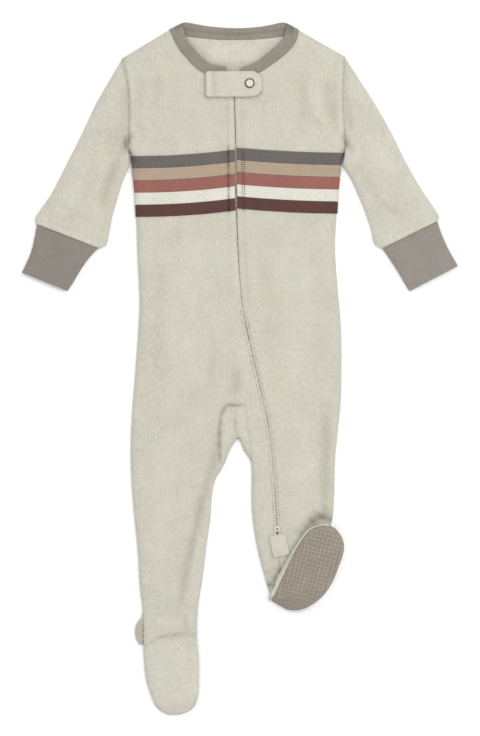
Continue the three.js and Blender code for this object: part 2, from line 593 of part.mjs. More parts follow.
// A flattened tube through sections that run from an outer to an inner edge
const overShares = [0.22, 0.36, 0.5, 0.64, 0.78];
const underShares = [0.8, 0.6, 0.4, 0.2];
function tubeGrid(sections, shape, underRadius = backRoll) {
  return sections.map(({ at, width, across }) => {
    const over = [
      ...edgeInsets,
      ...overShares.map((s) => s * width),
      ...edgeInsets.toReversed().map((d) => width - d),
    ];
    const under = [
      ...backInsets.slice(1).map((d) => width - d),
      ...underShares.map((s) => s * width),
      ...backInsets.slice(1).toReversed(),
    ];
    const foldAt = (s) => (s < width / 2
      ? { d: s, nx: across.x, ny: across.y }
      : { d: width - s, nx: -across.x, ny: -across.y });
    const place = (s) => at(s / width);
    return [
      ...over.map((s) => topPoint(...place(s), foldAt(s), shape, () => seamHeight)),
      ...under.map((s) => underPoint(...place(s), foldAt(s), underRadius, seamHeight)),
    ];
  });
}
function straightSection({ outX, outY, inX, inY }) {
  const width = Math.hypot(inX - outX, inY - outY);
  return {
    width,
    across: { x: (inX - outX) / width, y: (inY - outY) / width },
    at: (share) => [mix(outX, inX, share), mix(outY, inY, share)],
  };
}
function armholeSection(armX, topY, lowY, gap) {
  const from = [armX(topY) + gap, topY];
  const to = [armX(lowY) + gap, lowY];
  const width = Math.hypot(to[0] - from[0], to[1] - from[1]);
  return {
    width,
    across: { x: (to[0] - from[0]) / width, y: (to[1] - from[1]) / width },
    at: (share) => {
      const y = mix(topY, lowY, share);
      return [armX(y) + gap, y];
    },
  };
}
const armGap = 0.45;
const firstRight = armholeSection(rightArmX, rightArmhole[0].y - 0.5, armpitY, -armGap);
const firstLeft = armholeSection(leftArmX, leftArmhole[0].y - 0.5, armpitY, armGap);
function halfway(first, second) {
  const from = straightSection(second);
  const at = (share) => first.at(share).map((value, k) => mix(value, from.at(share)[k], 0.5));
  const [ax, ay] = at(0);
  const [bx, by] = at(1);
  const width = Math.hypot(bx - ax, by - ay);
  return { width, across: { x: (bx - ax) / width, y: (by - ay) / width }, at };
}
const sleeveSections = (first, rows) => [first, halfway(first, rows[0]), ...rows.map(straightSection)];
const sleeveWall = (first, rows) => (
  clothWall(tubeGrid(sleeveSections(first, rows), velour), velourWall, { ring: true }));
add('sleeve_right', sleeveWall(firstRight, rightSleeve), colours.velour);
add('sleeve_left', sleeveWall(firstLeft, leftSleeve), colours.velour);

// A cuff starts at the sleeve's end, a little narrower, and runs to its mouth
const cuffNarrow = 0.8;
function cuffGrid(sleeveRows, cuffRows, turn) {
  const end = sleeveRows.at(-1);
  const { width, across } = straightSection(end);
  const downX = turn * across.y * seamGap;
  const downY = -turn * across.x * seamGap;
  const start = {
    outX: end.outX + downX + across.x * cuffNarrow,
    outY: end.outY + downY + across.y * cuffNarrow,
    inX: end.outX + downX + across.x * (width - cuffNarrow),
    inY: end.outY + downY + across.y * (width - cuffNarrow),
  };
  return tubeGrid([start, ...cuffRows].map(straightSection), ribbing);
}
add('cuff_right', clothWall(cuffGrid(rightSleeve, rightCuff, 1), ribWall, { ring: true }), colours.rib);
add('cuff_left', clothWall(cuffGrid(leftSleeve, leftCuff, -1), ribWall, { ring: true }), colours.rib);

// Neckband: a rib ribbon from one side of the zip round the back of the neck to the other. It is
// folded over at each shoulder, so its outer side faces up in front and down at the back.
const topLine = (grid) => grid[0].map(({ p }) => [p.x, p.y]);
function lineY(line) {
  return (x) => {
    const i = Math.min(Math.max(line.findIndex((point) => point[0] > x) - 1, 0), line.length - 2);
    return mix(line[i][1], line[i + 1][1], (x - line[i][0]) / (line[i + 1][0] - line[i][0]));
  };
}
const spaced = (list) => list.filter((x, i) => i === 0 || Math.abs(x - list[i - 1]) > 2.2);
const rightTopLine = topLine(panelGrid(frontRightColumns, frontRightTop, edgeInsets, 1, [], suitTop));
const leftTopLine = topLine(panelGrid(frontLeftColumns, frontLeftTop, edgeInsets, 1, [], suitTop));
const backTopLine = topLine(backGrid);
const neckFront = {
  right: { rows: neckRight, edgeY: lineY(rightTopLine), line: rightTopLine, turn: 1, corner: neckRight[0] },
  left: { rows: neckLeft, edgeY: lineY(leftTopLine), line: leftTopLine, turn: -1, corner: neckLeft.at(-1) },
};
const bandMidFront = 0.35;
const bandLowest = 4.6;
const bandEnds = { right: -13.7, left: 0.8 };
function frontBand(side) {
  const { rows, edgeY, line, turn, corner } = neckFront[side];
  const [freeX, freeY] = ['freeX', 'freeY'].map((column) => reader(rows, column, 'x'));
  const zipSideX = bandEnds[side];
  const clearOfEnds = (x) => (x - corner.x) * turn > 0.5 && (zipSideX - x) * turn > 1.5;
  const stops = line.map(([x]) => x).filter(clearOfEnds);
  const nearShoulder = corner.x + turn * 3.2;
  const xs = [nearShoulder, ...spaced(side === 'right' ? stops : stops.toReversed()), zipSideX];
  return xs.map((x) => {
    const y = edgeY(x);
    const z = Math.max(suitTop(x, y).p.z, bandLowest) - ribWall / 2 + bandMidFront;
    return { x, y, freeX: freeX(x), freeY: freeY(x), z, tilt: x === nearShoulder ? turn * 0.5 : 0 };
  });
}
const backBandZ = ribWall / 2;
const [backFreeX, backFreeY] = ['freeX', 'freeY'].map((column) => reader(neckBack, column, 'x'));
const backEdgeY = lineY(backTopLine);
function backBandAt(x, z, tilt) {
  return { x, y: backEdgeY(x), freeX: backFreeX(x), freeY: backFreeY(x), z, tilt };
}
const shoulderFold = (corner, turn) => ({ ...corner, z: 3, tilt: turn * Math.PI / 2 });
const backStops = spaced(backTopLine.map(([x]) => x).filter((x) => x > -63 && x < 51));
const bandSections = [
  ...frontBand('right').toReversed(),
  shoulderFold(neckRight[0], 1),
  backBandAt(-69.6, 1.3, Math.PI * 0.8),
  ...backStops.map((x) => backBandAt(x, backBandZ, Math.PI)),
  backBandAt(57.2, 1.3, -Math.PI * 0.8),
  shoulderFold(neckLeft.at(-1), -1),
  ...frontBand('left'),
];
const bandShares = [0, 0.34, 0.67, 1];
const seamClear = 0.5;
const bandGrid = bandSections.map(({ x, y, freeX, freeY, z, tilt }) => {
  const width = Math.hypot(freeX - x, freeY - y);
  const out = new THREE.Vector3(y - freeY, freeX - x, 0).divideScalar(width).multiplyScalar(Math.sin(tilt));
  out.z = Math.cos(tilt);
  return bandShares.map((share) => {
    const s = mix(seamClear / width, 1, share);
    const middle = new THREE.Vector3(mix(x, freeX, s), mix(y, freeY, s), z);
    return { p: middle.addScaledVector(out, ribWall / 2), n: out };
  });
});
add('neckband', clothWall(bandGrid, ribWall), colours.rib);

// Zip chain in the slot between the fronts
const chainDrop = 0.9;
const chainWall = 1.4;
const chainSteps = 40;
const chainTopY = 300;
const chainEndY = zipEndY + 4.5;
const up = new THREE.Vector3(0, 0, 1);
const chainGrid = Array.from({ length: chainSteps + 1 }, (_, i) => {
  const y = mix(chainTopY, chainEndY, i / chainSteps);
  return [-1, 1].map((side) => {
    const edge = suitTop(zipX(y) + side * zipHalfSlot, y).p;
    return { p: new THREE.Vector3(zipX(y) + side * zipChainHalf, y, edge.z - chainDrop), n: up };
  });
});
add('zip_chain', clothWall(chainGrid, chainWall), colours.zip, 0.5);

// A soft flat pad on a rectangle with round corners: rows run along x, thin at the edge
function pad({ x = 0, y = 0, width, height, corner, seat, edge, middle, turn = 0, rise = 4 }) {
  const insets = [0, 1, 3.5];
  const steps = (size) => [...insets, size / 2, ...insets.toReversed().map((d) => size - d)];
  const angle = THREE.MathUtils.degToRad(turn);
  const place = (u, v) => {
    const dx = u - width / 2;
    const dy = v - height / 2;
    const [cos, sin] = [Math.cos(angle), Math.sin(angle)];
    return [x + dx * cos - dy * sin, y + dx * sin + dy * cos];
  };
  const endCut = (u) => {
    const near = Math.min(u, width - u);
    return near < corner ? corner - Math.sqrt(corner ** 2 - (corner - near) ** 2) : 0;
  };
  const top = [];
  const bottom = [];
  steps(width).forEach((u) => {
    const cut = endCut(u);
    const upper = [];
    const lower = [];
    steps(height - 2 * cut).forEach((v) => {
      const [px, py] = place(u, v + cut);
      const d = Math.min(u, width - u, v, height - 2 * cut - v);
      const arc = Math.sqrt(1 - (1 - Math.min(d / rise, 1)) ** 2);
      upper.push(new THREE.Vector3(px, py, seat + mix(edge, middle, arc)));
      lower.push(new THREE.Vector3(px, py, seat));
    });
    top.push(upper);
    bottom.push(lower);
  });
  return wallBetween(top, bottom);
}
add('chin_tab', pad({
  ...tab,
  x: (tab.left + tab.right) / 2,
  y: (tab.top + tab.bottom) / 2,
  width: tab.right - tab.left,
  height: tab.top - tab.bottom,
}), colours.velour);
add('zip_guard_lower', pad(guard), colours.velour);

// Snap: a cap with a raised rim
const snapProfile = [
  [0, 0], [snap.radius, 0], [snap.radius, snap.height * 0.7], [snap.radius - snap.rim / 2, snap.height],
  [snap.radius - snap.rim, snap.height - snap.sink], [0, snap.height - snap.sink * 0.6],
].map(([r, z]) => new THREE.Vector2(r, z));
const snapCap = new THREE.LatheGeometry(snapProfile, 28).rotateX(Math.PI / 2);
snapCap.translate(snap.x, snap.y, tab.seat + tab.middle + seamGap);
add('snap_cap', snapCap, colours.snap, 0.45);

// Lower slider: a small rounded body with a hole for a pull
const sliderOutline = new THREE.Shape();
const halfWide = slider.width / 2;
const halfLong = slider.length / 2;
sliderOutline.moveTo(-halfWide * 0.6, -halfLong);
sliderOutline.lineTo(halfWide * 0.6, -halfLong);
sliderOutline.quadraticCurveTo(halfWide, -halfLong, halfWide, -halfLong * 0.3);
sliderOutline.lineTo(halfWide * 0.8, halfLong * 0.7);
sliderOutline.quadraticCurveTo(0, halfLong * 1.3, -halfWide * 0.8, halfLong * 0.7);
sliderOutline.lineTo(-halfWide, -halfLong * 0.3);
sliderOutline.quadraticCurveTo(-halfWide, -halfLong, -halfWide * 0.6, -halfLong);
const pullHole = new THREE.Path();
pullHole.absarc(0, -halfLong * 0.25, slider.hole, 0, 2 * Math.PI, true);
sliderOutline.holes.push(pullHole);
const sliderBody = new THREE.ExtrudeGeometry(
  sliderOutline, { depth: slider.height, bevelEnabled: false, curveSegments: 5 });
sliderBody.translate(slider.x, slider.y, slider.seat);
add('zip_slider_lower', sliderBody, colours.zip, 0.45);

// Flat foot: the vamp on top and the sole on the surface
const soleEdgeX = (y) => Math.max(rightSideX(y), flatSoleHeelX(y));
const acrossFoot = (share) => (left, right) => mix(left, right, share);
const fromLeft = (squeeze) => (d) => (left, right) => left + Math.min(d, (right - left) * d * squeeze);
const fromRight = (squeeze) => (d) => (left, right) => right - Math.min(d, (right - left) * d * squeeze);
const vampColumns = [
  ...edgeInsets.map(fromLeft(0.04)),
  ...[0.36, 0.5, 0.64].map(acrossFoot),
  ...edgeInsets.toReversed().map(fromRight(0.04)),
];
const footRows = [-300, -314, -328, -340, -348, -354, -358.5, -361.5, -363.2, footEndY];
const vampGrid = [rightAnkleY - seamGap, -292, ...footRows].map((height) => vampColumns.map((column) => {
  const slant = THREE.MathUtils.clamp((height - footRows[0]) / (rightAnkleY - footRows[0]), 0, 1);
  const x = column(rightSideX(height), rightInseamX(height));
  const y = height - ankleSlant * (1 - 2 * legShareAt(x, height)) * slant;
  return suitTop(column(rightSideX(y), rightInseamX(y)), y);
}));
add('vamp_right', clothWall(vampGrid, velourWall), colours.velour);
const soleFold = foldFinder([
  [...trace(soleEdgeX, flatSoleTopY, footEndY), ...trace(rightInseamX, footEndY, flatSoleTopY)],
]);
const soleColumns = [
  ...backInsets.map(fromLeft(0.07)),
  acrossFoot(0.5),
  ...backInsets.toReversed().map(fromRight(0.07)),
];
const soleGrid = [flatSoleTopY, -275, -286, ...footRows].map((y) => soleColumns.map((column) => {
  const x = column(soleEdgeX(y), rightInseamX(y));
  return underPoint(x, y, soleFold(x, y));
}));
add('sole_right', clothWall(soleGrid, velourWall), colours.sole);

// Folded foot: the sole faces up, the vamp lies between it and the shin
const soleTurn = THREE.MathUtils.degToRad(soleHeel.turn);
const [axisX, axisY] = [Math.cos(soleTurn), Math.sin(soleTurn)];
const onFoot = (along, across) => [
  soleHeel.x + along * axisX + across * axisY,
  soleHeel.y + along * axisY - across * axisX,
];
const alongFoot = (x, y) => (x - soleHeel.x) * axisX + (y - soleHeel.y) * axisY;
const soleLeft = reader(soleShape, 'left', 'along');
const soleRight = reader(soleShape, 'right', 'along');
const seatZ = reader(foldedFootSeat, 'z', 'along');
const rimWidth = (along) => mix(4.6, 2, THREE.MathUtils.clamp((along - 20) / 50, 0, 1));
const outlineSteps = 59;
function footOutline(from, to, left, right) {
  const steps = Array.from({ length: outlineSteps + 1 }, (_, i) => mix(from, to, i / outlineSteps));
  return [
    ...steps.map((along) => onFoot(along, right(along))),
    ...steps.toReversed().map((along) => onFoot(along, left(along))),
    onFoot(from, right(from)),
  ];
}
const footColumns = [
  ...edgeInsets.map(fromLeft(0.05)),
  acrossFoot(0.5),
  ...edgeInsets.toReversed().map(fromRight(0.05)),
];
const soleLong = soleShape.at(-1).along;
const soleUpFold = foldFinder([footOutline(0, soleLong, soleLeft, soleRight)]);
const soleUpRows = [0, 0.8, 2.4, 5, 9, 15, 24, 36, 50, 64, 76, 86, 92, 95.5, 97.8, soleLong];
add('sole_left', clothWall(soleUpRows.map((along) => footColumns.map((column) => {
  const [x, y] = onFoot(along, column(soleLeft(along), soleRight(along)));
  const base = (px, py) => seatZ(alongFoot(px, py)) + seamGap / 2;
  return topPoint(x, y, soleUpFold(x, y), soleCrown, base, false);
})), velourWall), colours.sole);
const vampLeftEdge = (along) => soleLeft(along) - rimWidth(along);
const vampEnd = 99.5;
const vampFold = foldFinder([footOutline(vampStart, vampEnd, vampLeftEdge, soleRight)]);
const vampRows = [vampStart, vampStart + 1.5, 24, 36, 50, 64, 76, 86, 92, 95.5, 97.8, vampEnd];
const vampSeat = seatZ(vampEnd) - seamGap / 2;
add('vamp_left', clothWall(vampRows.map((along) => footColumns.map((column) => {
  const [x, y] = onFoot(along, column(vampLeftEdge(along), soleRight(along)));
  const up = topPoint(x, y, vampFold(x, y), vampShape, () => 0, false);
  return {
    p: new THREE.Vector3(x, y, vampSeat - up.p.z),
    n: new THREE.Vector3(up.n.x, up.n.y, -up.n.z),
  };
})), vampWall), colours.velour);

// Ribbed tapes across the chest, sewn on the fronts just off their skin
function stripeGrid(side, index) {
  const band = stripeBand[side];
  const edge = side === 'right' ? rightEdgeX : leftEdgeX;
  const zipEdge = side === 'right' ? zipRightEdge : zipLeftEdge;
  const sign = side === 'right' ? 1 : -1;
  const tapeColumns = [
    ...edgeInsets.map((d) => inset(edge, sign * d)),
    ...[0.25, 0.5, 0.75, 1].map((share) => between(inset(edge, sign * wideInset), zipEdge, share)),
  ];
  return [0, 1].map((lower) => tapeColumns.map((column) => {
    let y = band.zipTop;
    for (let i = 0; i < 4; i += 1) {
      const x = column(y);
      const share = THREE.MathUtils.clamp((x - edge(y)) / (zipEdge(y) - edge(y)), 0, 1);
      const top = mix(band.sideTop, band.zipTop, share) + band.sag * 4 * share * (1 - share);
      y = top - index * stripeWidth - (lower ? stripeWidth - seamGap : 0);
    }
    return suitTop(column(y), y);
  }));
}
stripes.forEach(({ name, colour }, index) => {
  ['right', 'left'].forEach((side) => {
    const grid = stripeGrid(side, index);
    const tape = wallBetween(shifted(grid, seamGap + stripeWall), shifted(grid, seamGap));
    add(`stripe_${name}_${side}`, tape, colour, 0.8);
  });
});

export default suit;
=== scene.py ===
import json
import math

import bmesh
import bpy
import numpy as np
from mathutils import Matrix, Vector

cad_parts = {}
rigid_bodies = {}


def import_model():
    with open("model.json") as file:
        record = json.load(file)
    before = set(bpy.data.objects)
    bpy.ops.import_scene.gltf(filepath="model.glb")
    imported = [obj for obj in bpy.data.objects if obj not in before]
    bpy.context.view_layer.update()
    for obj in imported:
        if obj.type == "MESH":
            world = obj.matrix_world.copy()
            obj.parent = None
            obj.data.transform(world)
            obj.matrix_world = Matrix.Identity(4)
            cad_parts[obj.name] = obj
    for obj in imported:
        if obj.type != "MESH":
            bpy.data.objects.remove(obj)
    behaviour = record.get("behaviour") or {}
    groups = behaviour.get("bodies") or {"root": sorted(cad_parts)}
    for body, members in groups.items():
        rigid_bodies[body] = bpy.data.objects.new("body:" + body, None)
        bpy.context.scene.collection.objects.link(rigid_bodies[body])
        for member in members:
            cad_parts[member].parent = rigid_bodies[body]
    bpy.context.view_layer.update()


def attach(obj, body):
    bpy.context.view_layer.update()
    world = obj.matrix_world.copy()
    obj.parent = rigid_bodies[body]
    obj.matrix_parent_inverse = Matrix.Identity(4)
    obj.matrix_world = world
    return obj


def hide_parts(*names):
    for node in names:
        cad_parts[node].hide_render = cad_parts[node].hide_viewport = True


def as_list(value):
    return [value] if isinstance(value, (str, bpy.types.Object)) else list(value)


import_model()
mm = 0.001
print("sleepsuit: frame loaded")

# The cloth's walls, and how a skin rises from a folded edge
cloth = {"gap": 0.3, "velour": 1.6, "rib": 1.4, "tape": 0.7, "seamHeight": 2.8, "backRoll": 3.0,
         "frontBase": 2.95, "backBase": 2.65, "creaseFade": 9.0, "leastRise": 0.15}
velourPuff = {"rollWidth": 8, "rollRise": 3, "crown": 1.1, "crownWidth": 30}
ribPuff = {"rollWidth": 6, "rollRise": 2.4, "crown": 0.6, "crownWidth": 20}
vampPuff = {"rollWidth": 8, "rollRise": 2.7, "crown": 0, "crownWidth": 20}
solePuff = {"rollWidth": 8, "rollRise": 3, "crown": 0.5, "crownWidth": 20}
landmarks = {"armpit": 228.9, "gussetTop": -39.2, "crotch": -73.5, "leftAnkle": -235.2, "rightAnkle": -285.6,
             "ankleSlant": 6.3, "zipEnd": -172, "legEnd": -247, "footEnd": -364}
armpit, gussetTop, crotch, leftAnkle, rightAnkle, ankleSlant, zipEnd, legEnd, footEnd = landmarks.values()

# The edges of the garment: x at each height y, from the neck down
rightArmhole = {"y": [325.4, 300, 275, 250, 228.9], "x": [-123.5, -118.2, -116.4, -116.6, -116.9]}
leftArmhole = {"y": [327.3, 300, 275, 250, 228.9], "x": [110, 108.4, 108.2, 109.6, 110.8]}
rightSide = {
    "y": [228.9, 220, 208, 176, 113, 71, 45, -12, -49, -86, -123, -160, -191, -228, -256, -292, -326, -345,
          -354, -360, -364],
    "x": [-116.9, -113.8, -112.4, -109.4, -107.1, -105.2, -106.1, -110.2, -113.2, -114.5, -113.4, -110.2,
          -107.1, -105, -101.9, -101.1, -98.2, -92.5, -88.4, -82.6, -74.5],
}
leftSide = {
    "y": [228.9, 220, 208, 187, 161, 124, 82, 40, -28, -65, -97, -139, -160, -202, -235.2, -247],
    "x": [110.8, 107, 105, 102.9, 101.3, 99.8, 102.6, 106.1, 106.1, 102.9, 99.8, 98.7, 96.6, 86.1, 77.7, 75],
}
rightInseam = {
    "y": [-73.5, -76.1, -86, -97, -107, -117.6, -133, -160, -181, -217, -244, -265, -286, -305, -330, -343,
          -352.3, -358.5, -362.4, -364],
    "x": [-2, -4.2, -10.5, -14.9, -19.9, -26, -29.4, -31.5, -34.6, -38.9, -43, -45.1, -45.1, -43.4, -43.2,
          -44, -46.6, -51.2, -59, -65],
}
leftInseam = {
    "y": [-73.5, -76.1, -86, -92.4, -97.7, -107, -144, -170, -191, -212, -235.2, -247],
    "x": [-1.4, 0.3, 4.2, 8.6, 11.4, 12.6, 12.6, 15.2, 18.9, 24.2, 31, 36],
}
zipLine = {
    "y": [308, 239, 168, 108, 69, 42, 14.7, -12.6, -40, -65, -97, -128, -169, -202, -235.2],
    "x": [-6.8, -4.7, -3.8, -1.1, 2.1, 6.8, 13, 19.3, 25.5, 30.5, 34.1, 36.8, 38.9, 41.5, 45.1],
}
gussetRightSeam = {
    "y": [310, 100, 0, -39.2, -48, -59, -80, -97],
    "x": [-38.5, -34, -22, -15.5, -19.4, -21.2, -21.6, -21.2],
}
gussetLeftSeam = {
    "y": [310, 200, 100, 0, -39.2, -48, -60, -72, -86],
    "x": [-18, -17, -14, 0, 5.2, 6.9, 7.8, 9.6, 11.6],
}
neckRight = {
    "x": [-74.1, -66.9, -58.3, -48.6, -37.9, -26.2, -13.7, -8],
    "y": [355.2, 339.7, 327.9, 317.2, 309.8, 307.1, 306.1, 306],
    "freeX": [-60.9, -56.7, -48.5, -40.2, -32, -23.6, -13.3, -8],
    "freeY": [361.2, 347.1, 335.9, 326.6, 319.9, 317.6, 316.4, 316.4],
}
neckLeft = {
    "x": [-5.6, 0.8, 10.5, 20.5, 28.5, 39.2, 52.1, 59.5, 61.7],
    "y": [305.8, 305.8, 306.8, 310, 315, 322.8, 334, 345, 354.7],
    "freeX": [-5.4, 0.6, 8, 16, 21.8, 30.5, 41.6, 47.4, 49],
    "freeY": [316.2, 316.4, 317.6, 320.8, 324.8, 331.6, 341.4, 350.5, 360.6],
}
neckBack = {
    "x": [-74.1, -66.5, -57, -31.5, -3.7, 23, 45, 54.4, 61.7],
    "y": [355.2, 350.6, 348.6, 345.6, 344.2, 345.8, 348.4, 350.4, 354.7],
    "freeX": [-60.9, -59.4, -55.2, -31.5, -3.2, 23, 43.4, 47.6, 49.2],
    "freeY": [361.8, 363, 363.2, 359.1, 357.3, 359.1, 363.1, 362.8, 361.4],
}
rightSleeve = {
    "outX": [-150.2, -165.9, -179.6, -197.4, -209.4, -215.2, -213.8],
    "outY": [279.3, 245.7, 218.4, 183.8, 166.4, 156.6, 151.2],
    "inX": [-115.6, -122.9, -129, -134.6, -137.9, -141.1, -148.4],
    "inY": [213, 197.4, 177.4, 157.5, 139.6, 128.4, 125.6],
}
leftSleeve = {
    "outX": [140.7, 157.5, 173.2, 190.1, 203.8, 209.4, 208],
    "outY": [279.3, 249.9, 218.4, 188.4, 168.4, 158.6, 154.4],
    "inX": [107.6, 116.6, 125.6, 132.8, 138.2, 142, 149.2],
    "inY": [213.4, 199.5, 179.6, 161.6, 144.8, 129.6, 125.4],
}
rightCuff = {"outX": [-215.6, -219.5, -224.6, -229.1], "outY": [137.5, 121.5, 109.6, 100.2],
             "inX": [-159.4, -169.1, -175.4, -181.2], "inY": [114.6, 100.4, 89.6, 80.9]}
leftCuff = {"outX": [211.8, 217.9, 223.7, 229.1], "outY": [140.9, 127.1, 116.4, 107.2],
            "inX": [158.8, 166.6, 172.4, 178.3], "inY": [112.6, 100.4, 90.4, 80.8]}
soleShape = {
    "along": [0, 1.5, 4.5, 11, 22, 35, 50, 64, 76, 86, 93, 97.4, 99],
    "left": [-14, -15.6, -16, -16.4, -17.4, -18.3, -19.2, -19.4, -18.7, -16.2, -10.8, -4.6, 0],
    "right": [3.5, 7, 12.4, 19.2, 25.6, 29.8, 30.7, 28.8, 27, 23.8, 18.2, 11.4, 6],
}
foldedFootSeat = {"along": [0, 1.5, 4.5, 11, 22, 99], "z": [2.7, 4.6, 7, 9.6, 10.6, 10.6]}
flatSoleHeel = {"y": [-256, -284, -295], "x": [-98.2, -98.2, -101.2]}
heelBulge = {"y": [-256, -262, -268, -275, -284, -291], "x": [-101.9, -103.4, -108.2, -110, -109, -105.4]}

# Creases of the cloth as it lies: start, middle and end of each, its half width and its rise
creases = [
    # x1, y1, xm, ym, x2, y2, width, rise
    (-26, -84, -46, -165, -66, -262, 4.2, -1.3),  # the long trough down the right leg
    (-14, -100, -38, -170, -50, -250, 6, 0.7),
    (-24, -60, -25.5, -92, -29, -122, 2.6, -0.8),
    (-30, -122, -38, -160, -44, -205, 3.2, -0.5),
    (-6, -28, -5, -16, -2, 0, 5, -1.0),  # above the gusset
    (-28, -25, -30, 0, -24, 30, 5, -0.45),
    (-4.6, -48, -5.2, -60, -3, -73, 1.5, -1.1),  # the gusset's middle
    (92, -30, 90, -90, 89, -158, 6, -1.0),
    (84, -150, 80, -157, 70, -166, 5, -1.1),  # behind the folded toes
    (94, -146, 88, -154, 84, -160, 4, -0.8),
    (68, 308, 66, 284, 71, 254, 5.5, -0.65),  # chest, wearer's left
    (93, 306, 91, 284, 96, 256, 5.5, -0.7),
    (101, 302, 99, 272, 102, 244, 4.5, -0.75),
    (80, 314, 79, 290, 84, 258, 6, 0.45),
    (72, 276, 76, 262, 88, 250, 4, -0.45),
    (-106, 310, -105, 292, -108, 262, 5, -0.45),  # chest, wearer's right
    (-88, 310, -86, 292, -92, 268, 5, -0.55),
    (-112, 262, -104, 252, -98, 236, 4, -0.45),
    (-122, 226, -136, 200, -143, 166, 6, -1.2),  # sleeves
    (118, 214, 136, 192, 150, 160, 6, -0.5),
    (-156, 236, -168, 208, -186, 172, 7, 0.7),
    (-121, 300, -121, 272, -122, 244, 4.5, -0.9),
    (-128, 262, -134, 240, -137, 222, 6, -0.6),
    (-150, 250, -158, 226, -166, 205, 5, -0.35),
    (-172, 165, -166, 158, -156, 150, 4, -0.45),
    (-196, 170, -190, 164, -182, 160, 4, 0.4),
    (114, 292, 114, 270, 117, 246, 4, -0.7),
    (134, 250, 146, 226, 160, 204, 7, 0.5),
    (150, 176, 160, 166, 172, 158, 4, -0.5),
    (60, -205, 58, -218, 50, -232, 4, -0.8),  # gathers at the folded ankle
    (40, -203, 44, -214, 46, -226, 3, -0.7),
    (70, -198, 66, -208, 60, -218, 3, -0.5),
    (-92, -276, -76, -283, -56, -276, 4, -0.35),  # where the right foot turns
    (-88, -262, -74, -270, -60, -266, 4, 0.5),
    (-66, -352, -70, -330, -76, -300, 14, 1.6),
    (-60, -258, -57, -268, -56, -280, 3, -0.6),
    (-114, 248, -118, 238, -127, 224, 4, -1.7),  # at the armpits
    (106, 246, 111, 238, 119, 226, 3.5, -1.5),
    (-40, 140, -60, 60, -52, -20, 12, 0.6),  # broad waves of the trunk and legs
    (50, 130, 62, 50, 58, -30, 12, 0.6),
    (-78, 120, -86, 40, -80, -40, 9, -0.35),
    (22, 120, 30, 60, 34, 10, 8, -0.3),
    (-70, -60, -82, -130, -84, -210, 10, 0.5),
    (64, -50, 66, -110, 62, -170, 10, 0.5),
]


def smooth(at, value):  # a soft curve through values at places; reads it anywhere
    at, value = np.asarray(at, float), np.asarray(value, float)
    last = len(at) - 1
    below, above = np.maximum(np.arange(last + 1) - 1, 0), np.minimum(np.arange(last + 1) + 1, last)
    tail = (1,) * (value.ndim - 1)
    slope = (value[above] - value[below]) / (at[above] - at[below]).reshape((-1,) + tail)

    def read(q):
        q = np.clip(np.asarray(q, float), at[0], at[-1])
        i = np.clip(np.searchsorted(at, q, side="right") - 1, 0, last - 1)
        span = (at[i + 1] - at[i]).reshape(q.shape + tail)
        t = (q - at[i]).reshape(q.shape + tail) / span
        rest = 1 - t
        ends = value[i] * (1 + 2 * t) * rest**2 + value[i + 1] * t * t * (3 - 2 * t)
        return ends + span * t * rest * (slope[i] * rest - slope[i + 1] * t)

    return read


def curve(rows, column="x", by="y"):
    order = np.argsort(rows[by])
    return smooth(np.array(rows[by], float)[order], np.array(rows[column], float)[order])


def mix(a, b, t):
    return a + (b - a) * t


def arc(share):  # a quarter circle: 0 at an edge, level from a share of 1 on
    return np.sqrt(1 - (1 - np.minimum(share, 1)) ** 2)


def bell(away, width):
    return np.exp(-((away / width) ** 2))


def path(*points):
    return np.array(points, float)


def traced(xAt, fromY, toY, step=2.0):
    y = np.linspace(fromY, toY, math.ceil(abs(toY - fromY) / step) + 1)
    return np.stack([xAt(y), y], 1)


def beside(line, offset):  # a line moved sideways
    way = np.gradient(line, axis=0)
    way /= np.hypot(way[:, 0], way[:, 1])[:, None]
    return line + np.stack([-way[:, 1], way[:, 0]], 1) * offset


def stops(step, *ends):  # evenly spaced places that pass through each of the ends
    rows = [ends[0]]
    for a, b in zip(ends, ends[1:]):
        rows += list(np.linspace(a, b, max(1, math.ceil(abs(b - a) / step)) + 1)[1:])
    return np.array(rows, float)


def nearest(x, y, lines, chunk=1500):  # distance to lines, the way from them, and where on them
    start = np.concatenate([line[:-1] for line in lines])
    step = np.concatenate([line[1:] - line[:-1] for line in lines])
    square = np.maximum((step**2).sum(1), 1e-12)
    points = np.stack([x.ravel(), y.ravel()], 1)
    found = []
    for s in range(0, len(points), chunk):
        q = points[s:s + chunk, None]
        t = np.clip(((q - start) * step).sum(2) / square, 0, 1)
        v = q - start - t[..., None] * step
        away = np.hypot(v[..., 0], v[..., 1])
        k = away.argmin(1)
        r = np.arange(len(k))
        found.append(np.column_stack([away[r, k], v[r, k], k, t[r, k]]))
    found = np.concatenate(found)
    return [found[:, c].reshape(x.shape) for c in range(5)] + [step]


def within(x, y, line, reach):
    low, high = line.min(0) - reach, line.max(0) + reach
    return (x > low[0]) & (x < high[0]) & (y > low[1]) & (y < high[1])


def foldAt(x, y, lines, snap=0.25):  # how far in from the folded edge, and the way in
    away, vx, vy, k, _, step = nearest(x, y, lines)
    way = step[k.astype(int)]
    length = np.maximum(np.hypot(way[..., 0], way[..., 1]), 1e-9)
    onEdge = away < snap
    inX = np.where(onEdge, -way[..., 1] / length, vx / np.maximum(away, 1e-9))
    inY = np.where(onEdge, way[..., 0] / length, vy / np.maximum(away, 1e-9))
    return np.where(onEdge, 0, away), inX, inY


def puffRise(shape, d):  # height of a soft skin at d in from its folded edge
    crown = np.minimum(d / shape["crownWidth"], 1)
    return shape["rollRise"] * arc(d / shape["rollWidth"]) + shape["crown"] * (1 - (1 - crown) ** 2)


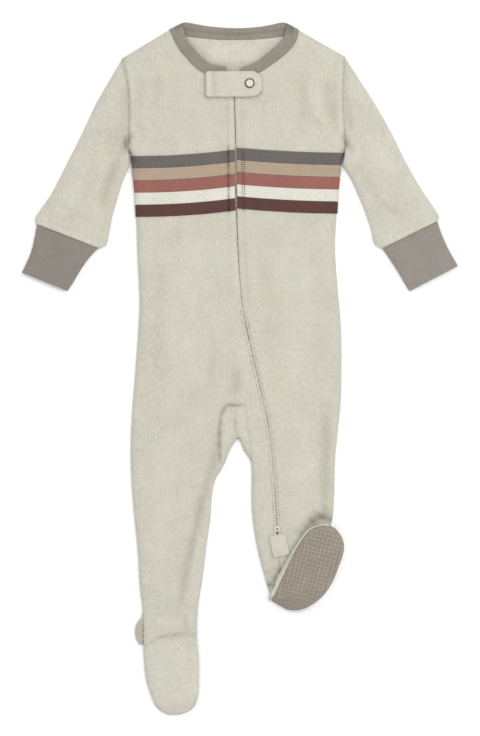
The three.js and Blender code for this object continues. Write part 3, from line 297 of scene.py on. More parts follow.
def creaseRise(x, y):
    total = np.zeros(x.shape)
    t = np.linspace(0, 1, 13)
    share = np.sqrt(4 * t * (1 - t))
    for x1, y1, xm, ym, x2, y2, width, rise in creases:
        bend = np.array([2 * xm - (x1 + x2) / 2, 2 * ym - (y1 + y2) / 2])
        ends = np.outer((1 - t) ** 2, (x1, y1)) + np.outer(t**2, (x2, y2))
        line = ends + np.outer(2 * t * (1 - t), bend)
        near = within(x, y, line, 3 * width)
        if near.any():
            away, _, _, k, part, _ = nearest(x[near], y[near], [line])
            k = k.astype(int)
            total[near] += rise * mix(share[k], share[k + 1], part) * bell(away, width)
    return total


uneven = {"waves": 26, "shortest": 15, "longest": 52, "height": 0.062, "seed": 11}
waveRandom = np.random.default_rng(uneven["seed"])
waves = [
    (2 * math.pi / waveRandom.uniform(uneven["shortest"], uneven["longest"]),
     waveRandom.uniform(0, math.pi), waveRandom.uniform(0, 2 * math.pi))
    for _ in range(uneven["waves"])
]


def unevenness(x, y):  # the slight waviness of cloth that was laid by hand
    total = np.zeros(x.shape)
    for pace, turn, phase in waves:
        total += np.sin(pace * (x * math.cos(turn) + y * math.sin(turn) * 0.6) + phase)
    return total * uneven["height"]


rightArmX, leftArmX, rightSideX, leftSideX, rightInseamX, leftInseamX = map(
    curve, (rightArmhole, leftArmhole, rightSide, leftSide, rightInseam, leftInseam))
zipX, gussetRightX, gussetLeftX, heelBulgeX, flatSoleHeelX = map(
    curve, (zipLine, gussetRightSeam, gussetLeftSeam, heelBulge, flatSoleHeel))
neckRightY, neckLeftY, neckBackY = [curve(rows, "y", "x") for rows in (neckRight, neckLeft, neckBack)]


def corner(rows, k):
    return rows["x"][k], rows["y"][k]


heelTop = heelBulge["y"][0]
shoulderRight = path(corner(neckRight, 0), corner(rightArmhole, 0))
shoulderLeft = path(corner(leftArmhole, 0), corner(neckLeft, -1))
rightLegFold, leftLegFold = traced(rightInseamX, footEnd, crotch), traced(leftInseamX, crotch, legEnd)
leftFold = traced(leftSideX, legEnd, armpit)
suitFold = [shoulderRight, np.concatenate([traced(rightSideX, armpit, footEnd), rightLegFold, leftLegFold]),
            leftFold, shoulderLeft]
backFold = [shoulderRight, traced(rightSideX, armpit, heelTop), rightLegFold, leftLegFold, leftFold,
            shoulderLeft]


def shoulderY(line, x):
    (x1, y1), (x2, y2) = line
    return y1 + (y2 - y1) * (x - x1) / (x2 - x1)


def frontRightTop(x):
    return np.where(x < neckRight["x"][0], shoulderY(shoulderRight, x), neckRightY(x))


def frontLeftTop(x):
    return np.where(x > neckLeft["x"][-1], shoulderY(shoulderLeft, x), neckLeftY(x))


def backTop(x):
    y = np.where(x < neckRight["x"][0], shoulderY(shoulderRight, x), neckBackY(x))
    return np.where(x > neckLeft["x"][-1], shoulderY(shoulderLeft, x), y)


def rightEdgeX(y):
    return np.where(y > armpit, rightArmX(y), rightSideX(y))


def leftEdgeX(y):
    return np.where(y > armpit, leftArmX(y), leftSideX(y))


def legShare(x, y):
    return np.clip((x - rightSideX(y)) / (rightInseamX(y) - rightSideX(y)), 0, 1)


# The zip's slot is closed above and below the tapes and stands a little open between them
zipSlot = {
    "y": [310, 236, 229, 200, 172, 164, 120, -40, -120, -166, -172, -178],
    "half": [0.5, 0.55, 1.2, 1.4, 1.35, 0.7, 0.16, 0.05, 0.05, 0.4, 0.7, 0.15],
}
zipStitch = {"right": 7.9, "left": 6.6, "leftOuter": 8.7, "leftTrough": 7.7}
slotHalf = curve(zipSlot, "half", "y")


def zipRightEdge(y):
    return zipX(y) - slotHalf(y)


def zipLeftEdge(y):
    return zipX(y) + slotHalf(y)


def zipRun(high, low, offset=0.0, step=2.0):  # a line beside the zip, to the wearer's left of it
    return beside(traced(zipX, high, low, step), offset)


def neckRun(heightAt, fromX, toX):
    x = np.linspace(fromX, toX, 30)
    return np.stack([x, heightAt(x)], 1)


gussetCorner = gussetRightX(gussetTop) + 2
seams = [
    # line, depth of its valley, half width, how much painted shade darkens it
    (traced(rightArmX, 325.4, armpit), 1.2, 2.4, 0.25),
    (traced(leftArmX, 327.3, armpit), 1.1, 2.1, 0.2),
    (traced(gussetRightX, gussetTop - 4, -98), 1.2, 2.3, 0.42),
    (path((gussetCorner - 4.4, gussetTop - 4), (gussetCorner, gussetTop)), 1.4, 2.0, 0.5),
    (path((gussetCorner, gussetTop), (0.5, gussetTop + 0.4)), 1.2, 1.9, 0.5),
    (traced(gussetLeftX, gussetTop, -96), 0.5, 1.2, 0.1),
    (neckRun(neckRightY, -74.1, -8), 0.6, 1.8, 0.08),
    (neckRun(neckLeftY, -5.6, 61.7), 0.6, 1.8, 0.08),
    (traced(zipX, 308, zipEnd - 4), 0.9, 1.5, 0.1),
    (zipRun(232, 164, -zipStitch["right"]), 0.6, 1.3, 0.75),
    (zipRun(300, 233, -zipStitch["right"]), 0.35, 1.5, 0.12),
    (zipRun(232, 164, zipStitch["leftTrough"]), 0.3, 1.5, 0.2),
    (path((-101, -292), (-94.5, -289), (-86, -283.6), (-75.6, -280), (-63, -279.3)), 0.7, 1.7, 0.2),
    (path((-63, -279.3), (-46.2, -280.4)), 0.4, 2.2, 0.13),
    (path((-121, 240), (-119, 232), (-114.5, 224), (-111, 217)), 0.5, 2.6, 0.5),  # painted shade at the armpits
    (path((111.5, 237), (109.6, 230), (107, 219)), 0.4, 2.2, 0.4),
    (path((36, -231), (46, -209), (58, -187), (68, -173)), 0, 3.4, 0.34),  # painted shadow beside the folded foot and behind its toes, with no valley
    (path((66, -173), (76, -161), (86, -157), (97, -160)), 0, 5.4, 0.5),
    (path((30, -229), (35, -224), (41, -213)), 0.6, 2.4, 0.7),
    (path((-37, 309), (-37, 285), (-34, 283.2), (16, 283), (22, 288)), 0, 1.8, 0.24),  # painted shadow round the tab, with no valley
    (path((27.5, -214.5), (34, -213), (40, -208)), 0.7, 1.3, 0.3),  # gathers at the folded ankle
    (path((29.5, -221), (35, -219.5), (41, -215)), 0.7, 1.2, 0.36),
    (path((77, -148), (80, -162)), 0.4, 2.0, 0.14),
    (path((88, -146), (89, -160)), 0.4, 2.2, 0.16),
]
ridges = [  # the soft rims beside seams, raised a little and with a painted highlight: line, height, half width, how much paler
    (beside(traced(rightArmX, 316, 236), 3.4), 0.5, 2.0, 0.13),
    (beside(traced(rightArmX, 318, 250), -3.2), 0.4, 1.8, 0.08),
    (beside(traced(leftArmX, 316, 236), -3.2), 0.5, 2.0, 0.1),
    (beside(traced(gussetRightX, -44, -96), 3.2), 0.4, 1.6, 0.07),
    (beside(traced(gussetRightX, -44, -96), -3.4), 0.4, 1.8, 0.06),
    (path((-14, -35.6), (0, -35.2)), 0.4, 1.7, 0.06),
    (zipRun(300, 236, -4.0), 0.3, 2.2, 0.05),
    (zipRun(160, 60, -4.2), 0.3, 2.4, 0.05),
    (zipRun(300, 236, 3.6), 0.3, 1.8, 0.04),
    (path((-92, -283.6), (-84, -279), (-74, -276.4), (-62, -275.6)), 0.3, 1.6, 0.06),
]


# strengths of the painted shade: in creases, on crests, from the waves, at folded edges, and its ripple along
# seams
paintedShadeLook = {"crease": 0.2, "highest": 0.25, "deepest": 2, "wave": 0.05, "fold": 0.12, "foldWidth": 1.6,
            "shadeRipple": 0.25, "shadeRippleX": 0.31, "shadeRippleY": 0.53, "bend": 1.3, "bendX": 0.17}


def seamDip(x, y, shaded=False, rows=seams):
    total = np.zeros(x.shape)
    for line, depth, width, dark in rows:
        near = within(x, y, line, 4 * width)
        if near.any():
            away = nearest(x[near], y[near], [line])[0]
            bend = paintedShadeLook["bend"] * np.sin(paintedShadeLook["bendX"] * x[near])
            wave = np.sin(paintedShadeLook["shadeRippleX"] * x[near] + paintedShadeLook["shadeRippleY"] * y[near] + bend)
            amount = dark * (1 + paintedShadeLook["shadeRipple"] * wave) if shaded else depth
            total[near] = np.maximum(total[near], amount * np.exp(-((away / width) ** 1.4)))
    return total


def paintedShade(x, y, d=None):  # painted shade on the nap: darker in seams and creases and where the cloth turns under, paler on the rims beside seams
    dark = paintedShadeLook["crease"] * np.clip(-creaseRise(x, y), -paintedShadeLook["highest"], paintedShadeLook["deepest"])
    dark -= paintedShadeLook["wave"] * unevenness(x, y)
    dark += seamDip(x, y, shaded=True) - seamDip(x, y, shaded=True, rows=ridges)
    return dark if d is None else dark + paintedShadeLook["fold"] * np.exp(-d / paintedShadeLook["foldWidth"])


def relief(x, y, d):
    waved = creaseRise(x, y) + unevenness(x, y) + seamDip(x, y, rows=ridges)
    return np.minimum(d / cloth["creaseFade"], 1) * waved - seamDip(x, y)


# A skin is its points, how far in each lies from the folded edge, and the way in
def topSkin(x, y, creased=True):
    d, inX, inY = foldAt(x, y, suitFold)
    base = cloth["frontBase"]
    z = base + puffRise(velourPuff, d)
    if creased:
        z = np.maximum(z + relief(x, y, d), base + cloth["leastRise"])
    return np.stack([x, y, np.where(d == 0, base, z)], -1), d, inX, inY


def underSkin(x, y, lines):
    d, inX, inY = foldAt(x, y, lines)
    return np.stack([x, y, cloth["backBase"] * (1 - arc(d / cloth["backRoll"]))], -1), d, inX, inY


def outward(points, up=1, ring=False, judged=slice(None)):  # the way out of a skin at each of its points
    around = np.roll(points, -1, 1) - np.roll(points, 1, 1) if ring else np.gradient(points, axis=1)
    n = np.cross(around, np.gradient(points, axis=0))
    n /= np.maximum(np.linalg.norm(n, axis=2, keepdims=True), 1e-9)
    return n * (up if np.median(n[:, judged, 2]) > 0 else -up)


def edged(n, d, inX, inY):  # at a folded edge the way out is level
    out = np.stack([-inX, -inY, np.zeros(d.shape)], -1)
    return np.where((d == 0)[..., None], out, n)


edgeSteps = np.array([0, 0.3, 0.8, 1.7, 3.1, 5.2, 8.0])  # columns stand closer at a folded edge


def across(*segments):  # columns between pairs of edges: low edge, high edge, columns between, stepped
    reach, share, owner = [], [], []
    for k, (_, _, count, stepped) in enumerate(segments):
        middle = np.linspace(0, 1, count + 2)[1:-1]
        if stepped:
            reach += [*edgeSteps, *[edgeSteps[-1]] * count, *(2 * edgeSteps[-1] - edgeSteps[::-1])]
            share += [*[0] * len(edgeSteps), *middle, *[1] * len(edgeSteps)]
            owner += [k] * (count + 2 * len(edgeSteps))
        else:
            reach += [0] * count
            share += list(middle)
            owner += [k] * count
    reach, share, owner = np.array(reach, float), np.array(share, float), np.array(owner)

    def place(y):
        x = np.empty(y.shape)
        for k, (low, high, _, stepped) in enumerate(segments):
            mine = owner == k
            lowX = low(y[..., mine])
            span = high(y[..., mine]) - lowX
            squeeze = np.minimum(1, span / (2.25 * edgeSteps[-1])) if stepped else 0
            middle = span - 2 * edgeSteps[-1] * squeeze
            x[..., mine] = lowX + reach[mine] * squeeze + share[mine] * middle
        return x

    return place, owner


gridSizes = {"firstTop": 330.0, "highest": 400.0, "rounds": 14, "slack": 0.01}
slack = gridSizes["slack"]


def panelGrid(place, count, topAt, chestRows, lower, lowerAt=None):
    # rows follow the top edge and level out down to the armpit, then lie at the heights given
    top = np.full((1, count), gridSizes["firstTop"])
    for _ in range(gridSizes["rounds"]):
        top = np.minimum(topAt(place(top)), gridSizes["highest"])
    rows = [top[0] - s for s in edgeSteps]
    rows += [mix(top[0] - edgeSteps[-1], armpit, k / chestRows) for k in range(1, chestRows + 1)]
    y = np.array(rows + [np.full(count, h) for h in lower])
    if lowerAt:
        y = y + lowerAt(y, place(y))
    return place(y), y


def cells(x, lower):  # the height at the top of each row of a grid's cells, and the number of each column
    tops = np.concatenate([np.full(len(x) - len(lower), gridSizes["highest"]), lower])
    return tops[:-1, None], np.arange(x.shape[1] - 1)[None]


# Meshes and how they are handed to the frame
def placed(name, data):
    item = bpy.data.objects.new(name, data)
    bpy.context.scene.collection.objects.link(item)
    return item


def softened(mesh, sharp):
    mesh.polygons.foreach_set("use_smooth", np.ones(len(mesh.polygons), bool))
    mesh.set_sharp_from_angle(angle=math.radians(sharp))
    mesh.update()


def makeMesh(name, points, faces, uv=None, shade=None):
    mesh = bpy.data.meshes.new(name)
    used, faces = np.unique(np.array(faces), return_inverse=True)
    faces = faces.reshape(-1, 4) if faces.ndim == 1 else faces
    mesh.from_pydata((points[used] * mm).tolist(), [], faces.tolist())
    if uv is not None:
        layer = mesh.uv_layers.new(name="UVMap")
        corners = np.zeros(len(mesh.loops), int)
        mesh.loops.foreach_get("vertex_index", corners)
        layer.data.foreach_set("uv", uv[used][corners].astype(np.float32).ravel())
    if shade is not None:
        layer = mesh.attributes.new("paintedShade", "FLOAT", "POINT")
        layer.data.foreach_set("value", shade[used].astype(np.float32))
    softened(mesh, 50)
    return placed(name, mesh)


def wallMesh(name, outer, inner, ring=False, kept=None, uv=None, shade=None):
    # a closed wall between two grids of points; cells that are not kept leave an opening
    rows, width = outer.shape[:2]
    columns = width if ring else width - 1
    kept = np.ones((rows - 1, columns), bool) if kept is None else kept
    i, j = np.nonzero(kept)
    shift = rows * width

    def index(r, c):
        return r * width + c % width

    a, b, c, d = index(i, j), index(i + 1, j), index(i + 1, j + 1), index(i, j + 1)
    faces = [np.stack([a, b, c, d], 1), np.stack([d, c, b, a], 1) + shift]

    def missing(r, k):
        k = k % columns if ring else k
        inside = (r >= 0) & (r < rows - 1) & (k >= 0) & (k < columns)
        return ~(inside & kept[np.clip(r, 0, rows - 2), np.clip(k, 0, columns - 1)])

    for first, second, r, k in ((a, b, i, j - 1), (b, c, i + 1, j), (c, d, i, j + 1), (d, a, i - 1, j)):
        rim = missing(r, k)
        p, q = first[rim], second[rim]
        faces.append(np.stack([p, p + shift, q + shift, q], 1))
    faces = np.concatenate(faces)
    points = np.concatenate([outer.reshape(-1, 3), inner.reshape(-1, 3)])
    p = points[faces]
    spin = np.cross(p[:, 1] - p[:, 0], p[:, 2] - p[:, 0]) + np.cross(p[:, 2] - p[:, 0], p[:, 3] - p[:, 0])
    if (spin * p.mean(1)).sum() < 0:
        faces = faces[:, ::-1]
    if uv is not None:
        uv = np.concatenate([uv.reshape(-1, 2)] * 2)
    if shade is not None:
        shade = np.concatenate([shade.ravel()] * 2)
    return makeMesh(name, points, faces, uv, shade)


def skinMesh(name, skin, wall, up=1, **options):  # a skin with the cloth's wall behind it
    points, d, inX, inY = skin
    n = edged(outward(points, up), d, inX, inY)
    return wallMesh(name, points, points - n * wall, uv=points[..., :2], **options)


def panel(name, x, y, kept=None, paler=0.0):
    skin = topSkin(x, y)
    return skinMesh(name, skin, cloth["velour"], kept=kept, shade=paintedShade(x, y, skin[1]) - paler)


def joined(first, second):  # the second mesh becomes part of the first
    work = bmesh.new()
    work.from_mesh(first.data)
    work.from_mesh(second.data)
    work.to_mesh(first.data)
    work.free()
    spare = second.data
    bpy.data.objects.remove(second)
    bpy.data.meshes.remove(spare)


def hand(piece, material, node=None, sheet=None):
    # the piece takes its finish, rides on the one body and stands for its node
    piece.data.materials.clear()
    piece.data.materials.append(material)
    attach(piece, "root")
    if node:
        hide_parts(node)
    if sheet:
        w, l, area, on = sheet
        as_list(on)


def linear(code):  # an sRGB hex colour as linear light
    parts = [int(code[k:k + 2], 16) / 255 for k in (1, 3, 5)]
    return [c / 12.92 if c <= 0.04045 else ((c + 0.055) / 1.055) ** 2.4 for c in parts] + [1.0]


def addNode(tree, kind, inputs=None, **settings):
    node = tree.nodes.new(kind)
    for key, value in settings.items():
        setattr(node, key, value)
    for key, value in (inputs or {}).items():
        if isinstance(value, bpy.types.NodeSocket):
            tree.links.new(value, node.inputs[key])
        else:
            node.inputs[key].default_value = value
    return node


knitLook = {"drift": 0.018, "hueDrift": 0.024, "spread": 0.17, "roughness": 0.92, "sheenRoughness": 0.35,
            "specular": 0.2, "paintedShadeStrength": 0.75, "redPower": 0.93, "bluePower": 1.1}


def knit(name, light, dark, patch=0.004, stretch=0.3, nap=0.0007, napDepth=0.00025, sheen=0.3,
         rib=None, ribDepth=0.0002, ribShade=0.04, contrast=1.0, drifting=0.004):
    # cloth whose colour drifts between two shades; rib is the pitch of its wales along u in mm
    material = bpy.data.materials.new(name)
    material.use_nodes = True
    tree = material.node_tree
    tree.nodes.clear()
    place = addNode(tree, "ShaderNodeTexCoord").outputs
    drawn = addNode(tree, "ShaderNodeMapping", {"Vector": place["Object"], "Scale": (1, stretch, 1)})
    noise = {}
    for layer, at, size, detail, rough, distortion in (
            ("patches", drawn.outputs[0], patch, 3.0, 0.6, 0.0),
            ("drift", place["Object"], knitLook["drift"], 2.0, 0.5, 0.0),
            ("nap", place["Object"], nap, 2.0, 0.6, 0.0),
            ("hue", place["Object"], knitLook["hueDrift"], 2.0, 0.5, 0.4)):
        noise[layer] = addNode(tree, "ShaderNodeTexNoise", {
            "Vector": at, "Scale": 1 / size, "Detail": detail, "Roughness": rough,
            "Distortion": distortion}).outputs[0]
    blend = 0.0
    for layer, weight in (("patches", 0.55), ("drift", 0.2), ("nap", 0.25)):
        blend = addNode(tree, "ShaderNodeMath", {0: noise[layer], 1: weight, 2: blend},
                        operation="MULTIPLY_ADD").outputs[0]
    reach = knitLook["spread"] / contrast
    spread = addNode(tree, "ShaderNodeMapRange", {
        "Value": blend, "From Min": 0.5 - reach, "From Max": 0.5 + reach})
    colour = addNode(tree, "ShaderNodeMix", {
        "Factor": spread.outputs[0], "A": linear(dark), "B": linear(light)}, data_type="RGBA")
    # the painted shade stored on each mesh darkens the cloth's colour
    shadeAttribute = addNode(tree, "ShaderNodeAttribute", attribute_name="paintedShade")
    lit = addNode(tree, "ShaderNodeMath", {
        0: shadeAttribute.outputs["Fac"], 1: -knitLook["paintedShadeStrength"], 2: 1.0}, operation="MULTIPLY_ADD").outputs[0]
    height, depth = noise["nap"], napDepth
    if rib:
        wale = addNode(tree, "ShaderNodeSeparateXYZ", {0: place["UV"]})
        turn = addNode(tree, "ShaderNodeMath", {0: wale.outputs[0], 1: 2 * math.pi / rib},
                       operation="MULTIPLY")
        ridge = addNode(tree, "ShaderNodeMath", {0: turn.outputs[0]}, operation="SINE").outputs[0]
        # painted shade in the grooves between the wales
        lit = addNode(tree, "ShaderNodeMath", {0: ridge, 1: ribShade, 2: lit},
                      operation="MULTIPLY_ADD").outputs[0]
        height = addNode(tree, "ShaderNodeMath", {0: noise["nap"], 1: napDepth / ribDepth, 2: ridge},
                         operation="MULTIPLY_ADD").outputs[0]
        depth = ribDepth
    tints = []  # the painted shade is tinted warm, as blue falls off fastest, and the warmth drifts a little
    for power, warmth in ((knitLook["redPower"], drifting), (knitLook["bluePower"], -drifting)):
        toned = addNode(tree, "ShaderNodeMath", {0: lit, 1: power}, operation="POWER")
        shift = addNode(tree, "ShaderNodeMapRange", {
            "Value": noise["hue"], "From Min": 0.3, "From Max": 0.7,
            "To Min": 1 - warmth, "To Max": 1 + warmth})
        tints.append(addNode(tree, "ShaderNodeMath", {0: toned.outputs[0], 1: shift.outputs[0]},
                             operation="MULTIPLY").outputs[0])
    tint = addNode(tree, "ShaderNodeCombineXYZ", {0: tints[0], 1: lit, 2: tints[1]})
    colour = addNode(tree, "ShaderNodeVectorMath", {0: colour.outputs[2], 1: tint.outputs[0]},
                     operation="MULTIPLY")
    bump = addNode(tree, "ShaderNodeBump", {"Height": height, "Distance": depth, "Strength": 0.8})
    body = addNode(tree, "ShaderNodeBsdfPrincipled", {
        "Base Color": colour.outputs[0], "Roughness": knitLook["roughness"], "Normal": bump.outputs[0],
        "Sheen Weight": sheen, "Sheen Roughness": knitLook["sheenRoughness"],
        "Specular IOR Level": knitLook["specular"]})
    addNode(tree, "ShaderNodeOutputMaterial", {"Surface": body.outputs[0]})
    return material


def solid(name, code, roughness=0.4, metallic=0.0):  # moulded plastic, metal or thread of one colour
    material = bpy.data.materials.new(name)
    material.use_nodes = True
    body = material.node_tree.nodes["Principled BSDF"]
    body.inputs["Base Color"].default_value = linear(code)
    body.inputs["Roughness"].default_value = roughness
    body.inputs["Metallic"].default_value = metallic
    return material


# Cotton velour has a cut nap: a soft mottled cream with paler rims where it turns to the light
velour = knit("cream velour", "#d0cdbf", "#b8b5a7", patch=0.0025, stretch=0.7, nap=0.0012, napDepth=0.0004,
              contrast=0.9, drifting=0.012)
# Rib knit is smooth and matt with fine wales, drawn a little coarser than real so that they show
rib = knit("taupe rib knit", "#9f998e", "#878177", patch=0.002, stretch=1, rib=1.5, sheen=0.1)
cuffKnit = knit("taupe cuff knit", "#9a948b", "#88817a", patch=0.002, stretch=1, sheen=0.15, rib=1.4,
                ribShade=0.015, ribDepth=0.0001)
gripCloth = knit("taupe sole knit", "#a89f92", "#8b8376", patch=0.0022, stretch=1, sheen=0.05)
# Ribbed tapes are woven flat and even, so they only drift a little across
tapes = {
    colour: knit(name, light, dark, patch=0.003, stretch=3, sheen=0.1)
    for colour, name, light, dark in (
        ("grey", "grey tape", "#736f6a", "#625e5a"), ("tan", "tan tape", "#b9a792", "#a79580"),
        ("rose", "dusty rose tape", "#a26e66", "#905b53"), ("cream", "cream tape", "#e6e5db", "#d0cfc2"),
        ("plum", "plum tape", "#654743", "#543a37"))
}
gripDot = solid("grip dots, darker rubber", "#8a8175", 0.7)  # printed rubber is dull and a shade darker
zipPlastic = solid("off-white zip plastic", "#cecbc2", 0.4)  # moulded acetal has a soft shine
zipCloth = solid("pale zip tape", "#b9b6ab", 0.9)
zipShade = solid("zip teeth painted in the slot's shade", "#6f6a60", 0.8)  # painted shade: the teeth are coloured dark for the slot's shadow, so they only show as a dark line
snapRing = solid("dark snap ring", "#4a4643", 0.4, 0.7)  # blackened metal
snapFace = solid("off-white snap centre", "#d3d0c6", 0.35)
thread = solid("cream thread", "#bfbbad", 0.9)  # spun thread is matt
# painted shade: this thread is coloured darker for the shadow of the trough it sinks into
shadeThread = solid("thread painted in its trough's shade", "#8f897c", 0.9)
darkThread = solid("dark thread on the tapes", "#4f403c", 0.9)
deepThread = solid("thread in the shade of the zip's edge", "#5f5a50", 0.9)


def geometryTree(name, sockets):
    tree = bpy.data.node_groups.new(name, "GeometryNodeTree")
    for label, kind in sockets.items():
        tree.interface.new_socket(label, in_out="INPUT", socket_type="NodeSocket" + kind)
    tree.interface.new_socket("Geometry", in_out="OUTPUT", socket_type="NodeSocketGeometry")
    return tree, tree.nodes.new("NodeGroupInput").outputs


def finishTree(tree, instances, given):
    real = addNode(tree, "GeometryNodeRealizeInstances", {0: instances})
    smoothed = addNode(tree, "GeometryNodeSetShadeSmooth", {0: real.outputs[0]})
    dressed = addNode(tree, "GeometryNodeSetMaterial", {
        0: smoothed.outputs[0], "Material": given["Material"]})
    addNode(tree, "NodeGroupOutput", {0: dressed.outputs[0]})


# Repeats a rounded bead along a line: stitches and zip teeth
rowTree, given = geometryTree("beads along a line", {
    "Geometry": "Geometry", "Pitch": "Float", "Size": "Vector", "Sideways": "Float", "Uneven": "Float",
    "Seed": "Int", "Material": "Material"})
track = addNode(rowTree, "GeometryNodeMeshToCurve", {0: given["Geometry"]})
spots = addNode(rowTree, "GeometryNodeCurveToPoints", {0: track.outputs[0], "Length": given["Pitch"]},
                mode="LENGTH")
turned = addNode(rowTree, "FunctionNodeAlignRotationToVector", {"Vector": spots.outputs["Tangent"]}, axis="X")
number = addNode(rowTree, "GeometryNodeInputIndex")
odd = addNode(rowTree, "ShaderNodeMath", {0: number.outputs[0], 1: 2.0}, operation="MODULO")
sway = addNode(rowTree, "ShaderNodeMath", {0: odd.outputs[0], 1: 2.0, 2: -1.0}, operation="MULTIPLY_ADD")
sway = addNode(rowTree, "ShaderNodeMath", {0: sway.outputs[0], 1: given["Sideways"]}, operation="MULTIPLY")
aside = addNode(rowTree, "ShaderNodeVectorMath", {0: spots.outputs["Tangent"], 1: (0, 0, 1)},
                operation="CROSS_PRODUCT")
aside = addNode(rowTree, "ShaderNodeVectorMath", {0: aside.outputs[0], "Scale": sway.outputs[0]},
                operation="SCALE")
stood = addNode(rowTree, "GeometryNodeSetPosition", {0: spots.outputs[0], "Offset": aside.outputs[0]})
least = addNode(rowTree, "ShaderNodeMath", {0: 1.0, 1: given["Uneven"]}, operation="SUBTRACT")
most = addNode(rowTree, "ShaderNodeMath", {0: 1.0, 1: given["Uneven"]}, operation="ADD")
chance = addNode(rowTree, "FunctionNodeRandomValue", {"Seed": given["Seed"]}, data_type="FLOAT")
grow = addNode(rowTree, "ShaderNodeMapRange", {
    "Value": chance.outputs["Value"], "To Min": least.outputs[0], "To Max": most.outputs[0]})
grow = addNode(rowTree, "ShaderNodeVectorMath", {0: given["Size"], "Scale": grow.outputs[0]},
               operation="SCALE")
ball = addNode(rowTree, "GeometryNodeMeshUVSphere", {"Segments": 6, "Rings": 4, "Radius": 1.0})
beads = addNode(rowTree, "GeometryNodeInstanceOnPoints", {
    0: stood.outputs[0], "Instance": ball.outputs[0], "Rotation": turned.outputs[0],
    "Scale": grow.outputs[0]})
finishTree(rowTree, beads.outputs[0], given)

# Puts a flat bead on every point: the grip dots of the soles
dotTree, given = geometryTree("beads on points", {
    "Geometry": "Geometry", "Size": "Vector", "Material": "Material"})
ball = addNode(dotTree, "GeometryNodeMeshUVSphere", {"Segments": 8, "Rings": 5, "Radius": 1.0})
beads = addNode(dotTree, "GeometryNodeInstanceOnPoints", {
    0: given["Geometry"], "Instance": ball.outputs[0], "Scale": given["Size"]})
finishTree(dotTree, beads.outputs[0], given)


def grown(name, tree, points, lines, slot, size, **values):  # runs a tree on points or lines, keeps the mesh
    mesh = bpy.data.meshes.new(name + " guide")
    mesh.from_pydata((np.asarray(points) * mm).tolist(), lines, [])
    guide = placed(name + " guide", mesh)
    modifier = guide.modifiers.new("repeat", "NODES")
    modifier.node_group = tree
    sockets = {item.name: item.identifier for item in tree.interface.items_tree if item.in_out == "INPUT"}
    for key, value in {"Size": [s * mm for s in size], **values}.items():
        modifier[sockets[key]] = value
    guide.update_tag()
    bpy.context.view_layer.update()
    seen = guide.evaluated_get(bpy.context.evaluated_depsgraph_get())
    made = bpy.data.meshes.new_from_object(seen)
    made.name = name
    guide.modifiers.remove(modifier)
    bpy.data.objects.remove(guide)
    bpy.data.meshes.remove(mesh)
    piece = placed(name, made)
    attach(piece, "root")


def beadRow(name, runs, pitch, size, material, slot, sideways=0.0, uneven=0.2, seed=1):
    points, lines = [], []
    for run in runs:
        lines += [(len(points) + k, len(points) + k + 1) for k in range(len(run) - 1)]
        points += list(run)
    grown(name, rowTree, points, lines, slot, size, Pitch=pitch * mm, Sideways=sideways * mm, Uneven=uneven,
          Seed=seed, Material=material)


# Right front: the right of the trunk, the right leg and the inner strip of the left leg
frontSizes = {"columns": 34, "middleColumns": 9, "stripColumns": 12, "rowStep": 2.6, "chestRows": 36}


def stripLeft(y):
    return np.where(y > -80, gussetLeftX(y), np.maximum(gussetLeftX(y), leftInseamX(y)))


def legRight(y):
    return np.minimum(gussetRightX(y), rightInseamX(y))


def ankleShift(y, x):
    ramp = np.clip((leftAnkle - y) / (leftAnkle - rightAnkle), 0, 1)
    return -ankleSlant * (1 - 2 * legShare(x, y)) * ramp


place, owner = across(
    (rightEdgeX, legRight, frontSizes["columns"], True),
    (legRight, stripLeft, frontSizes["middleColumns"], False),
    (stripLeft, zipRightEdge, frontSizes["stripColumns"], True))
lower = stops(frontSizes["rowStep"], armpit, gussetTop, crotch, leftAnkle, rightAnkle)[1:]
x, y = panelGrid(place, len(owner), frontRightTop, frontSizes["chestRows"], lower, ankleShift)
cellTop, column = cells(x, lower)
legEdge, stripEdge = np.nonzero(owner == 0)[0][-1], np.nonzero(owner == 2)[0][0]
inStrip = (column >= stripEdge) & (cellTop > leftAnkle + slack)
kept = (cellTop > gussetTop + slack) | (column < legEdge) | inStrip
hand(panel("front_right_cloth", x, y, kept), velour, "front_right",
     (168.5, 647, 0.0637, ["floor", "back"]))
print("sleepsuit: right front")

# Left front: from the zip to the left side, down to the ankle of the folded foot
place, owner = across((zipLeftEdge, leftEdgeX, frontSizes["columns"], True))
lower = stops(frontSizes["rowStep"], armpit, gussetTop, leftAnkle)[1:]
x, y = panelGrid(place, len(owner), frontLeftTop, frontSizes["chestRows"], lower)
hand(panel("front_left_cloth", x, y), velour, "front_left", (116, 590, 0.0490, ["floor", "back"]))

# Gusset: two prongs run down each side of the crotch
gusset = {"sewnGap": 0.04, "rowStep": 1.2, "rightProng": -107.5, "leftProng": -97.5, "prongWidth": 7,
          "edges": [3.2, 1.6, 0.8, 0.3, 0]}


def gussetRightEdge(y):
    return gussetRightX(y) + gusset["sewnGap"]


def gussetLeftEdge(y):
    return gussetLeftX(y) - gusset["sewnGap"]


def rightProng(y, d):
    apex = rightInseamX(np.minimum(y, crotch))
    return np.maximum(apex - d, mix(gussetRightEdge(y), apex, 1 - d / gusset["prongWidth"]))


def leftProng(y, d):
    apex = leftInseamX(np.minimum(y, crotch))
    return np.minimum(apex + d, mix(apex, gussetLeftEdge(y), d / gusset["prongWidth"]))


